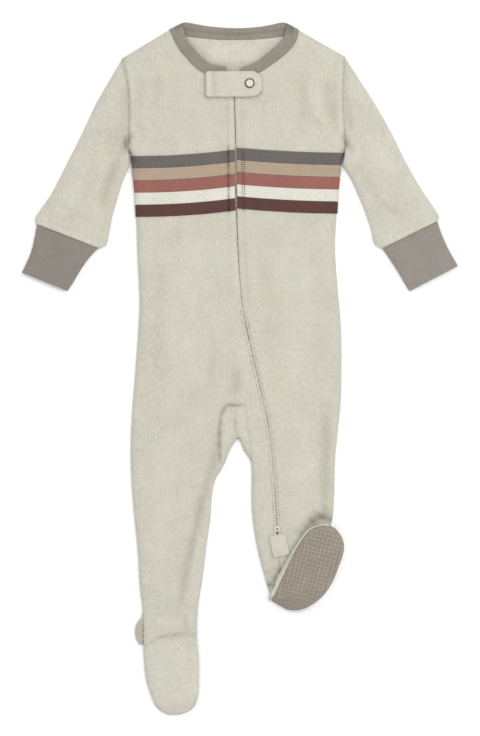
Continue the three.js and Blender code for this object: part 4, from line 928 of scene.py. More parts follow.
widest = gusset["edges"][0]
rows = stops(gusset["rowStep"], gussetTop - gusset["sewnGap"], crotch, gusset["leftProng"],
             gusset["rightProng"])
columns = [mix(gussetRightEdge(rows), rightProng(rows, widest), t) for t in np.linspace(0, 1, 8)[:-1]]
columns += [rightProng(rows, d) for d in gusset["edges"]]
apexColumn = len(columns) - 1
columns += [leftProng(rows, d) for d in gusset["edges"][::-1]]
columns += [mix(leftProng(rows, widest), gussetLeftEdge(rows), t) for t in np.linspace(0, 1, 6)[1:]]
x = np.stack(columns, 1)
y = np.repeat(rows[:, None], x.shape[1], 1)
cellTop, column = cells(x, rows)
kept = ~((cellTop <= crotch + slack) & (column == apexColumn))
kept &= (cellTop > gusset["leftProng"] + slack) | (column < apexColumn)
hand(panel("gusset_cloth", x, y, kept), velour, "crotch_gusset", (32, 54, 0.00126, ["back"]))

# Back: the whole underside of trunk and legs, with the heel of the flat foot bulging out beside it
backSizes = {"columns": 26, "rowStep": 3.6, "chestRows": 26, "rightEnd": -258, "leftEnd": -246.5,
             "height": 420, "rightX": -20, "leftX": 8, "shade": -0.05}
neckPatch = {"left": -34, "right": 20, "low": 321, "high": 338, "soft": 2.5, "paler": 0.07}  # plain and pale
heel = {"top": -258.4, "bottom": -290.5, "rows": 20, "columns": 12, "clear": 1.7, "roll": 2.4, "seat": 2.6,
        "rise": 1.6, "shade": 0.28, "foldShade": 0.8, "foldWidth": 0.22}


def backInseam(inseamX, topX):  # above the crotch the two halves meet along a slanting line
    def edgeX(y):
        above = mix(inseamX(crotch), topX, (y - crotch) / backSizes["height"])
        return np.where(y > crotch, above, inseamX(y))
    return edgeX


def backRightX(y):
    return np.where(y > heelTop, rightEdgeX(y), heelBulgeX(y))


place, owner = across(
    (backRightX, backInseam(rightInseamX, backSizes["rightX"]), backSizes["columns"], True),
    (backInseam(leftInseamX, backSizes["leftX"]), leftEdgeX, backSizes["columns"], True))
lower = stops(backSizes["rowStep"], armpit, crotch, backSizes["leftEnd"], backSizes["rightEnd"])[1:]
x, y = panelGrid(place, len(owner), backTop, backSizes["chestRows"], lower)
cellTop, column = cells(x, lower)
apexColumn = np.nonzero(owner == 0)[0][-1]
kept = (cellTop > crotch + slack) | (column != apexColumn)
kept &= (cellTop > backSizes["leftEnd"] + slack) | (column < apexColumn)
inPatch = np.minimum(np.minimum(x - neckPatch["left"], neckPatch["right"] - x),
                     np.minimum(y - neckPatch["low"], neckPatch["high"] - y))
shade = backSizes["shade"] - neckPatch["paler"] * np.clip(inPatch / neckPatch["soft"], 0, 1)
backPiece = skinMesh("back_cloth", underSkin(x, y, backFold), cloth["velour"], up=-1, kept=kept, shade=shade)

# its heel: a soft flap that shows beside the ankle
rows = np.linspace(heel["top"], heel["bottom"], heel["rows"])[:, None]
share = np.linspace(0, 1, heel["columns"])
x = heelBulgeX(rows) + share * (flatSoleHeelX(rows) - heel["clear"] - heelBulgeX(rows))
y = np.repeat(rows, heel["columns"], 1)
ends = np.sin(np.pi * np.linspace(0, 1, heel["rows"]))[:, None] ** 0.5
low = np.stack([x, y, heel["roll"] * (1 - np.sqrt(share)) * np.ones_like(x)], -1)
high = np.stack([x, y, heel["seat"] + heel["rise"] * np.sqrt(share) * ends], -1)
# painted shade greys the heel flap and darkens a speckled line along its fold
shade = heel["shade"] + heel["foldShade"] * bell(share - 1, heel["foldWidth"]) * (0.8 + 0.5 * np.sin(2.6 * y))
joined(backPiece, wallMesh("back_heel", high, low, uv=high[..., :2], shade=shade))
hand(backPiece, velour, "back", (234, 645, 0.1185, ["floor"]))
print("sleepsuit: gusset and back")

# Sleeves and cuffs: flattened tubes through sections that run from an outer to an inner edge
tubeSizes = {"over": 16, "under": 9, "underSteps": [0.4, 1.2, 3.0], "lowest": 0.1}
sleeveSizes = {"startDrop": 0.5, "armGap": 0.1, "starts": 8, "step": 2.4, "endShade": 0.3, "endWidth": 0.9,
               "rimHighlight": 0.1, "rimAt": 3, "rimWidth": 1.8}
cuffSizes = {"narrow": 0.8, "step": 1.6}


def tube(sections, shape, wall):
    underSteps = np.array(tubeSizes["underSteps"])
    s, d, xy, way = [], [], [], []
    for at, width, wayAcross in sections:
        body = np.linspace(edgeSteps[-1], width - edgeSteps[-1], tubeSizes["over"] + 2)[1:-1]
        inside = np.linspace(width - underSteps[-1], underSteps[-1], tubeSizes["under"] + 2)[1:-1]
        s.append(np.concatenate([edgeSteps, body, width - edgeSteps[::-1], width - underSteps, inside,
                                 underSteps[::-1]]))
        d.append(np.minimum(s[-1], width - s[-1]))
        xy.append(at(s[-1] / width))
        way.append(np.outer(np.where(s[-1] < width / 2, 1, -1), wayAcross))
    s, d, xy, way = map(np.array, (s, d, xy, way))
    tops = len(edgeSteps) * 2 + tubeSizes["over"]
    z = cloth["seamHeight"] + puffRise(shape, d)
    if shape is velourPuff:
        z = z + relief(xy[..., 0], xy[..., 1], d)
    z = np.maximum(z, cloth["seamHeight"] + np.where(d == 0, 0, cloth["leastRise"]))
    z[:, tops:] = cloth["seamHeight"] * (1 - arc(d[:, tops:] / cloth["backRoll"]))
    points = np.concatenate([xy, z[..., None]], -1)
    n = outward(points, ring=True, judged=slice(len(edgeSteps), tops - len(edgeSteps)))
    inner = points - edged(n, d, way[..., 0], way[..., 1]) * wall
    inner[..., 2] = np.maximum(inner[..., 2], tubeSizes["lowest"])
    run = np.concatenate([[0], np.cumsum(np.linalg.norm(np.diff(xy[:, tops // 2], axis=0), axis=1))])
    s[:, tops:] = 2 * s[:, tops - 1:tops] - s[:, tops:]
    return points, inner, np.stack([s, np.repeat(run[:, None], s.shape[1], 1)], -1)


def section(at):  # the place at each share of the way across, the width and the way across
    a, b = at(np.array(0.0)), at(np.array(1.0))
    width = float(np.hypot(*(b - a)))
    return at, width, tuple((b - a) / width)


def straight(row):
    def at(share):
        return np.stack([mix(row[0], row[2], share), mix(row[1], row[3], share)], -1)
    return section(at)


def armhole(armX, topY, gap):
    def at(share):
        y = mix(topY, armpit, share)
        return np.stack([armX(y) + gap, y], -1)
    return section(at)


def blended(first, second, t):
    def at(share):
        return mix(first[0](share), second[0](share), t)
    return section(at)


def table(rows):
    return np.array([rows[c] for c in ("outX", "outY", "inX", "inY")], float).T


def sections(rows, step):  # straight sections, softly interpolated
    middle = (rows[:, :2] + rows[:, 2:]) / 2
    run = np.concatenate([[0], np.cumsum(np.linalg.norm(np.diff(middle, axis=0), axis=1))])
    read = smooth(run, rows)
    return [straight(read(q)) for q in np.linspace(0, run[-1], math.ceil(run[-1] / step) + 1)]


for side, armX, arm, sleeveRows, cuffRows, turn, area, cuffShade in (
        ("right", rightArmX, rightArmhole, rightSleeve, rightCuff, 1, 0.0191, 0.15),
        ("left", leftArmX, leftArmhole, leftSleeve, leftCuff, -1, 0.0185, 0.0)):
    first = armhole(armX, arm["y"][0] - sleeveSizes["startDrop"], -turn * sleeveSizes["armGap"])
    rows = table(sleeveRows)
    run = sections(rows, sleeveSizes["step"])
    start = [blended(first, run[0], t) for t in np.linspace(0, 1, sleeveSizes["starts"])[:-1]]
    outer, inner, uv = tube(start + run, velourPuff, cloth["velour"])
    toEnd = uv[-1, 0, 1] - uv[..., 1]
    # painted shade where the sleeve's end meets the cuff, and a painted highlight on the roll just above it
    shade = paintedShade(outer[..., 0], outer[..., 1])
    shade += sleeveSizes["endShade"] * bell(toEnd, sleeveSizes["endWidth"])
    shade -= sleeveSizes["rimHighlight"] * bell(toEnd - sleeveSizes["rimAt"], sleeveSizes["rimWidth"])
    sleeve = wallMesh("sleeve_" + side + "_cloth", outer, inner, ring=True, uv=uv, shade=shade)
    hand(sleeve, velour, "sleeve_" + side, (190, 150, area, ["floor"]))
    _, width, way = straight(rows[-1])
    way = np.array(way)
    gap = turn * cloth["gap"] * np.array([way[1], -way[0]])
    cuffStart = np.concatenate([rows[-1][:2] + gap + way * cuffSizes["narrow"],
                                rows[-1][:2] + gap + way * (width - cuffSizes["narrow"])])
    cuffRun = sections(np.vstack([cuffStart, table(cuffRows)]), cuffSizes["step"])
    outer, inner, uv = tube(cuffRun, ribPuff, cloth["rib"])
    cuff = wallMesh("cuff_" + side + "_rib", outer, inner, ring=True, uv=uv,
                    shade=np.full(outer.shape[:2], cuffShade))
    hand(cuff, cuffKnit, "cuff_" + side, (125, 50, 0.0061, ["floor"]))
print("sleepsuit: sleeves and cuffs")

# Neckband: rib from one side of the zip round the back of the neck, folded over at each shoulder
band = {"mid": 0.35, "lowest": 4.6, "rightEnd": -13.7, "leftEnd": 0.8, "clear": 0.15, "fine": 5, "taper": 3.2,
        "endWidth": 0.45, "across": [0, 0.06, 0.16, 0.3, 0.44, 0.5, 0.56, 0.7, 0.84, 0.94, 1],
        "foldZ": 3, "turnZ": 1.3, "turnRight": -69.6, "backRight": -62.5, "backLeft": 50.5, "turnLeft": 57.2,
        "seamShade": 0.3, "rowShade": 0.14, "foldShade": 0.5, "sewnShade": 0.1, "backShade": -0.08}


def frontBand(rows, top, cornerX, endX, turn):
    free = [curve(rows, c, "x") for c in ("freeX", "freeY")]
    xs = np.array([cornerX + turn * 3.2, *np.linspace(cornerX + turn * 7, endX, 12)])
    y = top(xs)
    z = np.maximum(topSkin(xs[None], y[None], creased=False)[0][0, :, 2], band["lowest"])
    z = z - cloth["rib"] / 2 + band["mid"]
    return np.stack([xs, y, free[0](xs), free[1](xs), z, np.array([0.5] + [0] * 12)], 1)


def shoulderRow(rows, k, tilt):
    return [rows["x"][k], rows["y"][k], rows["freeX"][k], rows["freeY"][k], band["foldZ"], tilt]


def backBand(xs, z, tilt):
    xs = np.atleast_1d(np.array(xs, float))
    free = [curve(neckBack, c, "x")(xs) for c in ("freeX", "freeY")]
    return np.stack([xs, backTop(xs), free[0], free[1], np.full(xs.shape, z), np.full(xs.shape, tilt)], 1)


half = cloth["rib"] / 2
rightBand = frontBand(neckRight, frontRightTop, neckRight["x"][0], band["rightEnd"], 1)
leftBand = frontBand(neckLeft, frontLeftTop, neckLeft["x"][-1], band["leftEnd"], -1)
leftBand[:, 5] = 2 * math.pi - leftBand[:, 5]
rows = np.vstack([
    rightBand[::-1], shoulderRow(neckRight, 0, math.pi / 2),
    backBand(band["turnRight"], band["turnZ"], math.pi * 0.8),
    backBand(np.linspace(band["backRight"], band["backLeft"], 20), half, math.pi),
    backBand(band["turnLeft"], band["turnZ"], math.pi * 1.2),
    shoulderRow(neckLeft, -1, math.pi * 1.5), leftBand,
])
read = smooth(np.arange(len(rows)), rows)
bx, by, fx, fy, z, tilt = read(np.linspace(0, len(rows) - 1, (len(rows) - 1) * band["fine"] + 1)).T
share = np.array(band["across"])
run = np.concatenate([[0], np.cumsum(np.hypot(np.diff((bx + fx) / 2), np.diff((by + fy) / 2)))])
taper = arc(np.maximum(np.minimum(run, run[-1] - run) / band["taper"], 0.02))
endShare = mix(band["endWidth"], 1, taper)
fx, fy = mix(bx, fx, endShare), mix(by, fy, endShare)
width = np.hypot(fx - bx, fy - by)
out = np.stack([(by - fy) / width * np.sin(tilt), (fx - bx) / width * np.sin(tilt), np.cos(tilt)], 1)
s = mix((band["clear"] / width)[:, None], 1, share[None])
middle = np.stack([mix(bx[:, None], fx[:, None], s), mix(by[:, None], fy[:, None], s),
                   np.repeat(z[:, None], len(share), 1)], -1)
soft = half * arc(np.minimum(share, 1 - share) / 0.16 + 0.15)
skins = [middle + sign * out[:, None] * soft[None, :, None] for sign in (1, -1)]
for skin in skins:
    skin[..., 2] = np.maximum(skin[..., 2], 0)
# painted shade: the band is darker inside its folds and towards its sewn edge, and a stitched seam runs round
# the back of the neck, drawn as a shaded line with shaded stitch rows below it
behind = np.clip(-np.cos(tilt), 0, 1)[:, None]
folded = (bell(tilt - math.pi / 2, 0.7) + bell(tilt - 1.5 * math.pi, 0.7))[:, None]
inRow = np.clip((share - 0.5) * 8, 0, 1)[None] * (0.5 + 0.5 * np.sin(2.4 * run)[:, None])
shade = band["seamShade"] * behind * bell(share - 0.5, 0.07)[None] + band["rowShade"] * behind * inRow
shade += band["foldShade"] * folded * (share > 0.4) + band["sewnShade"] * (1 - share)[None]
shade += band["backShade"] * behind
uv = np.stack([np.repeat(run[:, None], len(share), 1), s * width[:, None]], -1)
hand(wallMesh("neckband_rib", *skins, uv=uv, shade=shade), rib, "neckband",
     (300, 12.7, 0.0036, ["front_right", "front_left", "back"]))
print("sleepsuit: neckband")

# Ribbed tapes sewn across the two fronts
tapeSizes = {"width": 12.8, "ribs": 6, "ribRise": 0.25, "rows": 26, "columns": 24, "zipColumns": 28,
             "zipFrom": 0.78, "lift": 0.3, "edgeDrop": 0.2, "edgeShare": 0.06, "grooveShade": 0.22,
             "rounds": 6}
tapeBand = {"right": {"sideTop": 222.4, "zipTop": 229.1, "sag": -1.9},
            "left": {"sideTop": 225.8, "zipTop": 231.1, "sag": -1.2}}
inset = np.concatenate([edgeSteps, np.full(tapeSizes["columns"] + tapeSizes["zipColumns"], edgeSteps[-1])])
part = np.concatenate([np.zeros(len(edgeSteps)),
                       np.linspace(0, tapeSizes["zipFrom"], tapeSizes["columns"] + 1)[1:],
                       np.linspace(tapeSizes["zipFrom"], 1, tapeSizes["zipColumns"] + 1)[1:]])
down = np.linspace(0, 1, tapeSizes["rows"])[:, None]
ribAngle = down * tapeSizes["ribs"] * math.pi
for index, (colour, material) in enumerate(tapes.items()):
    for side, edge, zipEdge, sign in (
            ("right", rightEdgeX, zipRightEdge, 1), ("left", leftEdgeX, zipLeftEdge, -1)):
        lay = tapeBand[side]
        y = np.full((tapeSizes["rows"], len(part)), float(lay["zipTop"]))
        for _ in range(tapeSizes["rounds"]):
            x = mix(edge(y) + sign * inset, zipEdge(y), part)
            share = np.clip((x - edge(y)) / (zipEdge(y) - edge(y)), 0, 1)
            top = mix(lay["sideTop"], lay["zipTop"], share) + lay["sag"] * 4 * share * (1 - share)
            y = top - index * tapeSizes["width"] - down * (tapeSizes["width"] - cloth["gap"])
        points, d, inX, inY = topSkin(x, y)
        n = edged(outward(points), d, inX, inY)
        rise = cloth["tape"] + tapeSizes["ribRise"] * np.sin(ribAngle) ** 2
        toEdge = np.minimum(np.minimum(down, 1 - down) / tapeSizes["edgeShare"], 1)
        rise = rise - tapeSizes["edgeDrop"] * (1 - toEdge) ** 2
        tape = wallMesh("tape_" + colour + "_" + side, points + n * (tapeSizes["lift"] + rise)[..., None],
                        points + n * tapeSizes["lift"], uv=points[..., :2],
                        shade=paintedShade(x, y, d) + tapeSizes["grooveShade"] * np.cos(ribAngle) ** 4)
        hand(tape, material, "stripe_" + colour + "_" + side,
             (108, 12.5, 0.00134, ["front_" + side]))
print("sleepsuit: tapes")

# Zip: a tape at the bottom of the slot with the chain's teeth on it
zipSizes = {"wall": 0.6, "top": 300, "step": 3, "beside": 1.2, "drop": 1.3, "tapeDrop": 0.3,
            "tapeAt": [-1.05, -0.5, 0.5, 1.05], "pitch": 0.95, "sideways": 0.28}
chainY = stops(zipSizes["step"], zipSizes["top"], zipEnd + 5)
chainX = zipX(chainY)
chainZ = topSkin((chainX + zipSizes["beside"])[None], chainY[None], creased=False)[0][0, :, 2]
chainZ -= zipSizes["drop"]
chain = np.stack([chainX, chainY, chainZ], 1)
tapeTop = chain[:, None] + np.array([[k, 0, -zipSizes["tapeDrop"]] for k in zipSizes["tapeAt"]])
hand(wallMesh("zip_tape", tapeTop, tapeTop - [0, 0, zipSizes["wall"]]), zipCloth, "zip_chain")
for name, low, high, material, size, lift in (
        ("zip_teeth_above", 236, 300, zipShade, (0.42, 0.55, 0.35), 0.0),
        ("zip_teeth_in_the_tapes", 168, 235, zipPlastic, (0.5, 0.7, 0.4), 0.35),
        ("zip_teeth_below", zipEnd + 6, 167, zipShade, (0.35, 0.3, 0.3), 0.1)):
    line = chain[(chainY >= low) & (chainY <= high)] + [0, 0, lift]
    beadRow(name, [line], zipSizes["pitch"], size, material, "zip", sideways=zipSizes["sideways"])

# The chin tab and the guard under the zip's end: soft flat pads with round corners
padSteps = np.array([0, 0.3, 0.8, 1.6, 2.6, 4.0])
padLook = {"edgeShade": 0.25, "edgeWidth": 0.9, "paler": 0.05, "sunkShade": 0.22, "rimHighlight": 0.1, "rimAt": 5,
           "rimWidth": 2, "wobble": 0.22}
tab = {"x": -6.55, "y": 297.85, "width": 59.3, "height": 27.3, "corners": (3, 11), "seat": 7.6, "edge": 1.6,
       "crest": 2.6, "turn": 0, "rise": 3.2, "trough": {"at": 9.2, "width": 1.3, "depth": 0.6}}
guard = {"x": 41.3, "y": -186.1, "width": 18.2, "height": 23.5, "corners": (2, 2), "seat": 7.3, "edge": 1.0,
         "crest": 1.6, "turn": 12, "rise": 2.5, "trough": None}


def pad(name, node, lay, sheet):
    width, height, trough = lay["width"], lay["height"], lay["trough"]
    u = np.concatenate([padSteps, np.linspace(4, width - 4, 12)[1:-1], width - padSteps[::-1]])
    t = np.concatenate([padSteps / height, np.linspace(4, height - 4, 8)[1:-1] / height,
                        1 - padSteps[::-1] / height])
    radius = np.where(u < width / 2, *lay["corners"])
    near = np.minimum(u, width - u)
    cut = radius - np.sqrt(np.maximum(radius**2 - (radius - near) ** 2, 0))
    cut = np.where(near < radius, cut, 0)[:, None]
    u = np.repeat(u[:, None], len(t), 1)
    v = cut + t * (height - 2 * cut)
    d = np.maximum(np.minimum(np.minimum(u, width - u), np.minimum(v - cut, height - cut - v)), 0)
    z = lay["seat"] + mix(lay["edge"], lay["crest"], arc(d / lay["rise"]))
    # painted shade darkens the pad towards its edges; the whole pad is a little paler
    shade = padLook["edgeShade"] * np.exp(-d / padLook["edgeWidth"]) - padLook["paler"]
    if trough:  # the row of stitches that holds the tab sinks into it, with painted shade in the trough and a painted highlight on the rim beside it
        sunk = bell(u - trough["at"], trough["width"])
        z = z - trough["depth"] * sunk * np.minimum(d / 1.5, 1)
        shade += padLook["sunkShade"] * sunk
        shade -= padLook["rimHighlight"] * bell(u - padLook["rimAt"], padLook["rimWidth"])
    turn = math.radians(lay["turn"])
    wobble = padLook["wobble"] * np.sin(1.25 * u + 1.7 * np.sin(0.4 * u))  # a pad's edge is never straight
    dx, dy = u - width / 2, v - height / 2 + wobble
    top = np.stack([lay["x"] + dx * math.cos(turn) - dy * math.sin(turn),
                    lay["y"] + dx * math.sin(turn) + dy * math.cos(turn), z], -1)
    low = top.copy()
    low[..., 2] = lay["seat"]
    hand(wallMesh(name, top, low, uv=top[..., :2], shade=shade), velour, node,
         (*sheet, ["front_right", "front_left"]))


pad("tab_cloth", "chin_tab", tab, (59.3, 27.3, 0.00158))
pad("guard_cloth", "zip_guard_lower", guard, (17.4, 23.5, 0.0004))

# Snap: a dark ring with a pale centre
snap = {"x": 10.2, "y": 298.5, "lift": 0.3, "steps": 48,
        "ring": [(5, 0), (5, 1.1), (4.8, 1.5), (4.4, 1.7), (4.0, 1.5), (3.9, 0.9)],
        "centre": [(3.9, 0.2), (3.9, 1.15), (3.5, 1.3), (1.6, 1.32), (1.3, 1.2), (0.3, 1.18)]}


def lathe(name, profile, material, node=None):
    steps, count = snap["steps"], len(profile)
    turnBy = np.linspace(0, 2 * math.pi, steps, endpoint=False)
    r, h = np.array(profile, float).T
    ringX = snap["x"] + r[:, None] * np.cos(turnBy)
    ringY = snap["y"] + r[:, None] * np.sin(turnBy)
    ringZ = tab["seat"] + tab["crest"] + snap["lift"] + h[:, None] + 0 * ringX
    around = [(j, (j + 1) % steps) for j in range(steps)]
    faces = [[i * steps + j, i * steps + k, (i + 1) * steps + k, (i + 1) * steps + j]
             for i in range(count - 1) for j, k in around]
    caps = [list(range(steps))[::-1], [(count - 1) * steps + j for j in range(steps)]]
    mesh = bpy.data.meshes.new(name)
    mesh.from_pydata((np.stack([ringX, ringY, ringZ], -1).reshape(-1, 3) * mm).tolist(), [], faces + caps)
    softened(mesh, 40)
    hand(placed(name, mesh), material, node)


lathe("snap_ring", snap["ring"], snapRing, "snap_cap")
lathe("snap_centre", snap["centre"], snapFace)

# Lower slider: the solid's own shape, softened
cadSlider = next(o for o in bpy.data.objects if o.type == "MESH" and o.name.startswith("zip_slider_lower"))
slider = placed("slider", cadSlider.data.copy())
slider.data.transform(cadSlider.matrix_world)
work = bmesh.new()
work.from_mesh(slider.data)
bmesh.ops.remove_doubles(work, verts=work.verts, dist=1e-6)
bmesh.ops.bevel(work, geom=[e for e in work.edges if len(e.link_faces) == 2 and e.calc_face_angle(0) > 0.9],
                offset=0.3 * mm, segments=2, affect="EDGES", profile=0.5)
work.to_mesh(slider.data)
work.free()
hand(slider, zipPlastic, "zip_slider_lower")
print("sleepsuit: zip, tab, snap")

# Flat foot: the vamp on top and the sole on the surface
flatFoot = {"slantEnd": -300, "toeFrom": -348, "vampStep": 2.4, "soleStep": 2.6, "soleTop": -260.5,
            "lift": 0.45, "squeeze": 0.04, "soleWall": 1.3, "vampPaler": 0.04}
toe = [*stops(2.6, flatFoot["slantEnd"], flatFoot["toeFrom"])[1:], -350.5, -353, -355.2, -357, -358.6, -360,
       -361.2, -362.2, -363, -363.6, footEnd]


def footAcross(left, right, squeeze, middle=9):
    left, right = left[:, None], right[:, None]
    reach = np.minimum(edgeSteps, (right - left) * edgeSteps * squeeze)
    low, high = left + reach, (right - reach)[:, ::-1]
    inside = mix(low[:, -1:], high[:, :1], np.linspace(0, 1, middle + 2)[1:-1][None])
    return np.concatenate([low, inside, high], 1)


def soleEdgeX(y):
    return np.maximum(rightSideX(y), flatSoleHeelX(y))


slantEnd = flatFoot["slantEnd"]
rows = np.array([*stops(flatFoot["vampStep"], rightAnkle - gusset["sewnGap"], slantEnd), *toe])
x = footAcross(rightSideX(rows), rightInseamX(rows), flatFoot["squeeze"])
rows = rows[:, None]
share = legShare(x, rows)
y = rows - ankleSlant * (1 - 2 * share) * np.clip((rows - slantEnd) / (rightAnkle - slantEnd), 0, 1)
x = mix(rightSideX(y), rightInseamX(y), share)
# painted light: the vamp is a little paler, making up for the lamp lighting the feet less
hand(panel("vamp_right_cloth", x, y, paler=flatFoot["vampPaler"]), velour, "vamp_right",
     (58, 84, 0.0039, ["sole_right"]))

rows = np.array([*stops(flatFoot["soleStep"], flatFoot["soleTop"], slantEnd), *toe])
soleFold = [np.concatenate([traced(soleEdgeX, flatFoot["soleTop"], footEnd),
                            traced(rightInseamX, footEnd, flatFoot["soleTop"])])]
x = footAcross(soleEdgeX(rows), rightInseamX(rows), flatFoot["squeeze"])
skin = underSkin(x, np.repeat(rows[:, None], x.shape[1], 1), soleFold)
skin[0][..., 2] = np.maximum(skin[0][..., 2], flatFoot["lift"])
hand(skinMesh("sole_right_cloth", skin, flatFoot["soleWall"], up=-1), gripCloth, "sole_right",
     (58, 104, 0.0052, ["floor"]))

# Folded foot: the sole faces up, the vamp lies between it and the shin
foot = {"x": 46.2, "y": -252, "turn": 60.7, "vampStart": 17, "vampEnd": 99.5, "vampWall": 1.4,
        "squeeze": 0.05, "creaseAt": 14, "creaseWidth": 3, "creaseDepth": 0.5}
rim = {"at": [0.5, 3, 25, 50, 90, 99], "radius": [1.2, 2.4, 1.7, 0.65, 0.7, 1.0], "steps": 10, "lift": 0.6}
axisX, axisY = math.cos(math.radians(foot["turn"])), math.sin(math.radians(foot["turn"]))
soleLeft, soleRight = curve(soleShape, "left", "along"), curve(soleShape, "right", "along")
seatZ = curve(foldedFootSeat, "z", "along")
soleLong = soleShape["along"][-1]


def onFoot(along, side):
    return foot["x"] + along * axisX + side * axisY, foot["y"] + along * axisY - side * axisX


def footOutline(start, end, left, right):
    a = np.linspace(start, end, 60)
    line = [np.stack(onFoot(a, right(a)), 1), np.stack(onFoot(a[::-1], left(a[::-1])), 1),
            np.stack(onFoot(a[:1], right(a[:1])), 1)]
    return [np.concatenate(line)]


def footGrid(alongs, left, right):
    side = footAcross(left(alongs), right(alongs), foot["squeeze"])
    a = np.repeat(alongs[:, None], side.shape[1], 1)
    return a, *onFoot(a, side)


soleOutline = footOutline(0, soleLong, soleLeft, soleRight)


def soleSkin(a, x, y):
    d, inX, inY = foldAt(x, y, soleOutline)
    crease = foot["creaseDepth"] * bell(a - foot["creaseAt"], foot["creaseWidth"]) * np.minimum(d / 4, 1)
    z = seatZ(a) + cloth["gap"] / 2 + puffRise(solePuff, d) - crease
    z = z + unevenness(x, y) * np.minimum(d / cloth["creaseFade"], 1)
    return np.stack([x, y, z], -1), d, inX, inY


alongs = np.array([0, 0.3, 0.8, 1.6, 2.8, 4.4, *stops(2.4, 6.5, 86),
                   *(soleLong - (soleLong - 86) * np.linspace(1, 0, 16) ** 2)])
a, x, y = footGrid(np.unique(np.clip(alongs, 0, soleLong)), soleLeft, soleRight)
skin = soleSkin(a, x, y)
heelLine = path((32, -245.4), (45, -243), (62, -237), (75, -231))  # a seam over the heel, darker below it
under = np.clip((np.interp(x, heelLine[:, 0], heelLine[:, 1]) - y) / 2, 0, 1)
# painted shade along the seam over the heel, below it where the heel turns down, and at the sole's edges
shade = 0.25 * bell(nearest(x, y, [heelLine])[0], 1.3) + 0.1 * under + 0.22 * np.exp(-skin[1] / 1.4)
hand(skinMesh("sole_left_cloth", skin, cloth["velour"], shade=shade), gripCloth, "sole_left",
     (50, 99, 0.0041, ["vamp_left"]))


def vampLeft(along):  # the vamp stands out beside the sole, most at the heel
    return soleLeft(along) - mix(4.6, 2, np.clip((along - 20) / 50, 0, 1))


alongs = np.unique(np.array([foot["vampStart"], foot["vampStart"] + 0.8, *stops(2.6, 19.5, 92), 93.5, 95,
                             96.3, 97.4, 98.4, foot["vampEnd"]]))
a, x, y = footGrid(alongs, vampLeft, soleRight)
d, inX, inY = foldAt(x, y, footOutline(foot["vampStart"], foot["vampEnd"], vampLeft, soleRight))
vampSeat = float(seatZ(foot["vampEnd"])) - cloth["gap"] / 2
vampSkin = np.stack([x, y, vampSeat - puffRise(vampPuff, d)], -1), d, inX, inY
vamp = skinMesh("vamp_left_cloth", vampSkin, foot["vampWall"], up=-1)

# the velour rim that rolls out beside the sole
rimAt = np.concatenate([np.linspace(0.5, 96, 60), np.linspace(96.6, soleLong - 0.2, 10)])
rimRadius = np.interp(rimAt, rim["at"], rim["radius"])
rimX, rimY = onFoot(rimAt, soleLeft(rimAt) - rimRadius * 0.7)
rimPath = np.stack([rimX, rimY, np.maximum(seatZ(rimAt) + rim["lift"], rimRadius + 0.1)], 1)
turnBy = np.linspace(0, 2 * math.pi, rim["steps"], endpoint=False)[:, None]
ahead = np.gradient(rimPath[:, :2], axis=0)
ahead /= np.linalg.norm(ahead, axis=1, keepdims=True)
aside = np.stack([-ahead[:, 1], ahead[:, 0], 0 * rimX], 1)
lump = rimRadius * (1 + 0.12 * np.sin(1.7 * rimAt) + 0.08 * np.sin(3.1 * rimAt))
ring = rimPath[:, None] + lump[:, None, None] * (
    aside[:, None] * np.cos(turnBy) + np.array([0, 0, 1.0]) * np.sin(turnBy))
ring[..., 2] = np.maximum(ring[..., 2], 0.05)
# painted shade darkens the rim at its heel end; the rest is a little paler
shade = np.repeat(-0.06 + 0.3 * bell(rimAt - 1, 3)[:, None], rim["steps"], 1)
joined(vamp, wallMesh("foot_rim", ring, mix(rimPath[:, None], ring, 0.3), ring=True, uv=ring[..., :2],
                      shade=shade))
hand(vamp, velour, "vamp_left", (53, 82, 0.0037, ["front_left"]))
print("sleepsuit: feet")

# Grip dots on both soles
dots = {"pitch": 4.2, "size": (1.5, 1.5, 0.4), "inset": 2.6, "turn": -15, "ends": 3,
        "foldedFoot": (70, -205, 80), "flatFoot": (-72, -312, 75), "flatTop": -263, "flatBottom": -361}


def dotGrid(midX, midY, reach):
    step = np.arange(-reach, reach, dots["pitch"])
    u, v = [g.ravel() for g in np.meshgrid(step, step)]
    turn = math.radians(dots["turn"])
    return midX + u * math.cos(turn) - v * math.sin(turn), midY + u * math.sin(turn) + v * math.cos(turn)


x, y = dotGrid(*dots["foldedFoot"])
along = (x - foot["x"]) * axisX + (y - foot["y"]) * axisY
aside = (x - foot["x"]) * axisY - (y - foot["y"]) * axisX
inside = (along > dots["ends"]) & (along < soleLong - dots["ends"])
inside &= (aside > soleLeft(along) + dots["inset"]) & (aside < soleRight(along) - dots["inset"])
along = along[inside]
grown("left_sole_dots", dotTree, soleSkin(along, *onFoot(along, aside[inside]))[0], [], "grip_sole",
      dots["size"], Material=gripDot)
x, y = dotGrid(*dots["flatFoot"])
shown = (y > dots["flatBottom"]) & (y < dots["flatTop"])
x, y = x[shown], y[shown]
inside = foldAt(x, y, soleFold)[0] > dots["inset"] + 1
inside &= (x > soleEdgeX(y)) & (x < rightInseamX(y))
spots = np.stack([x, y, np.full(x.shape, dots["size"][2])], 1)[inside]
grown("right_sole_dots", dotTree, spots, [], "grip_sole", dots["size"], Material=gripDot)

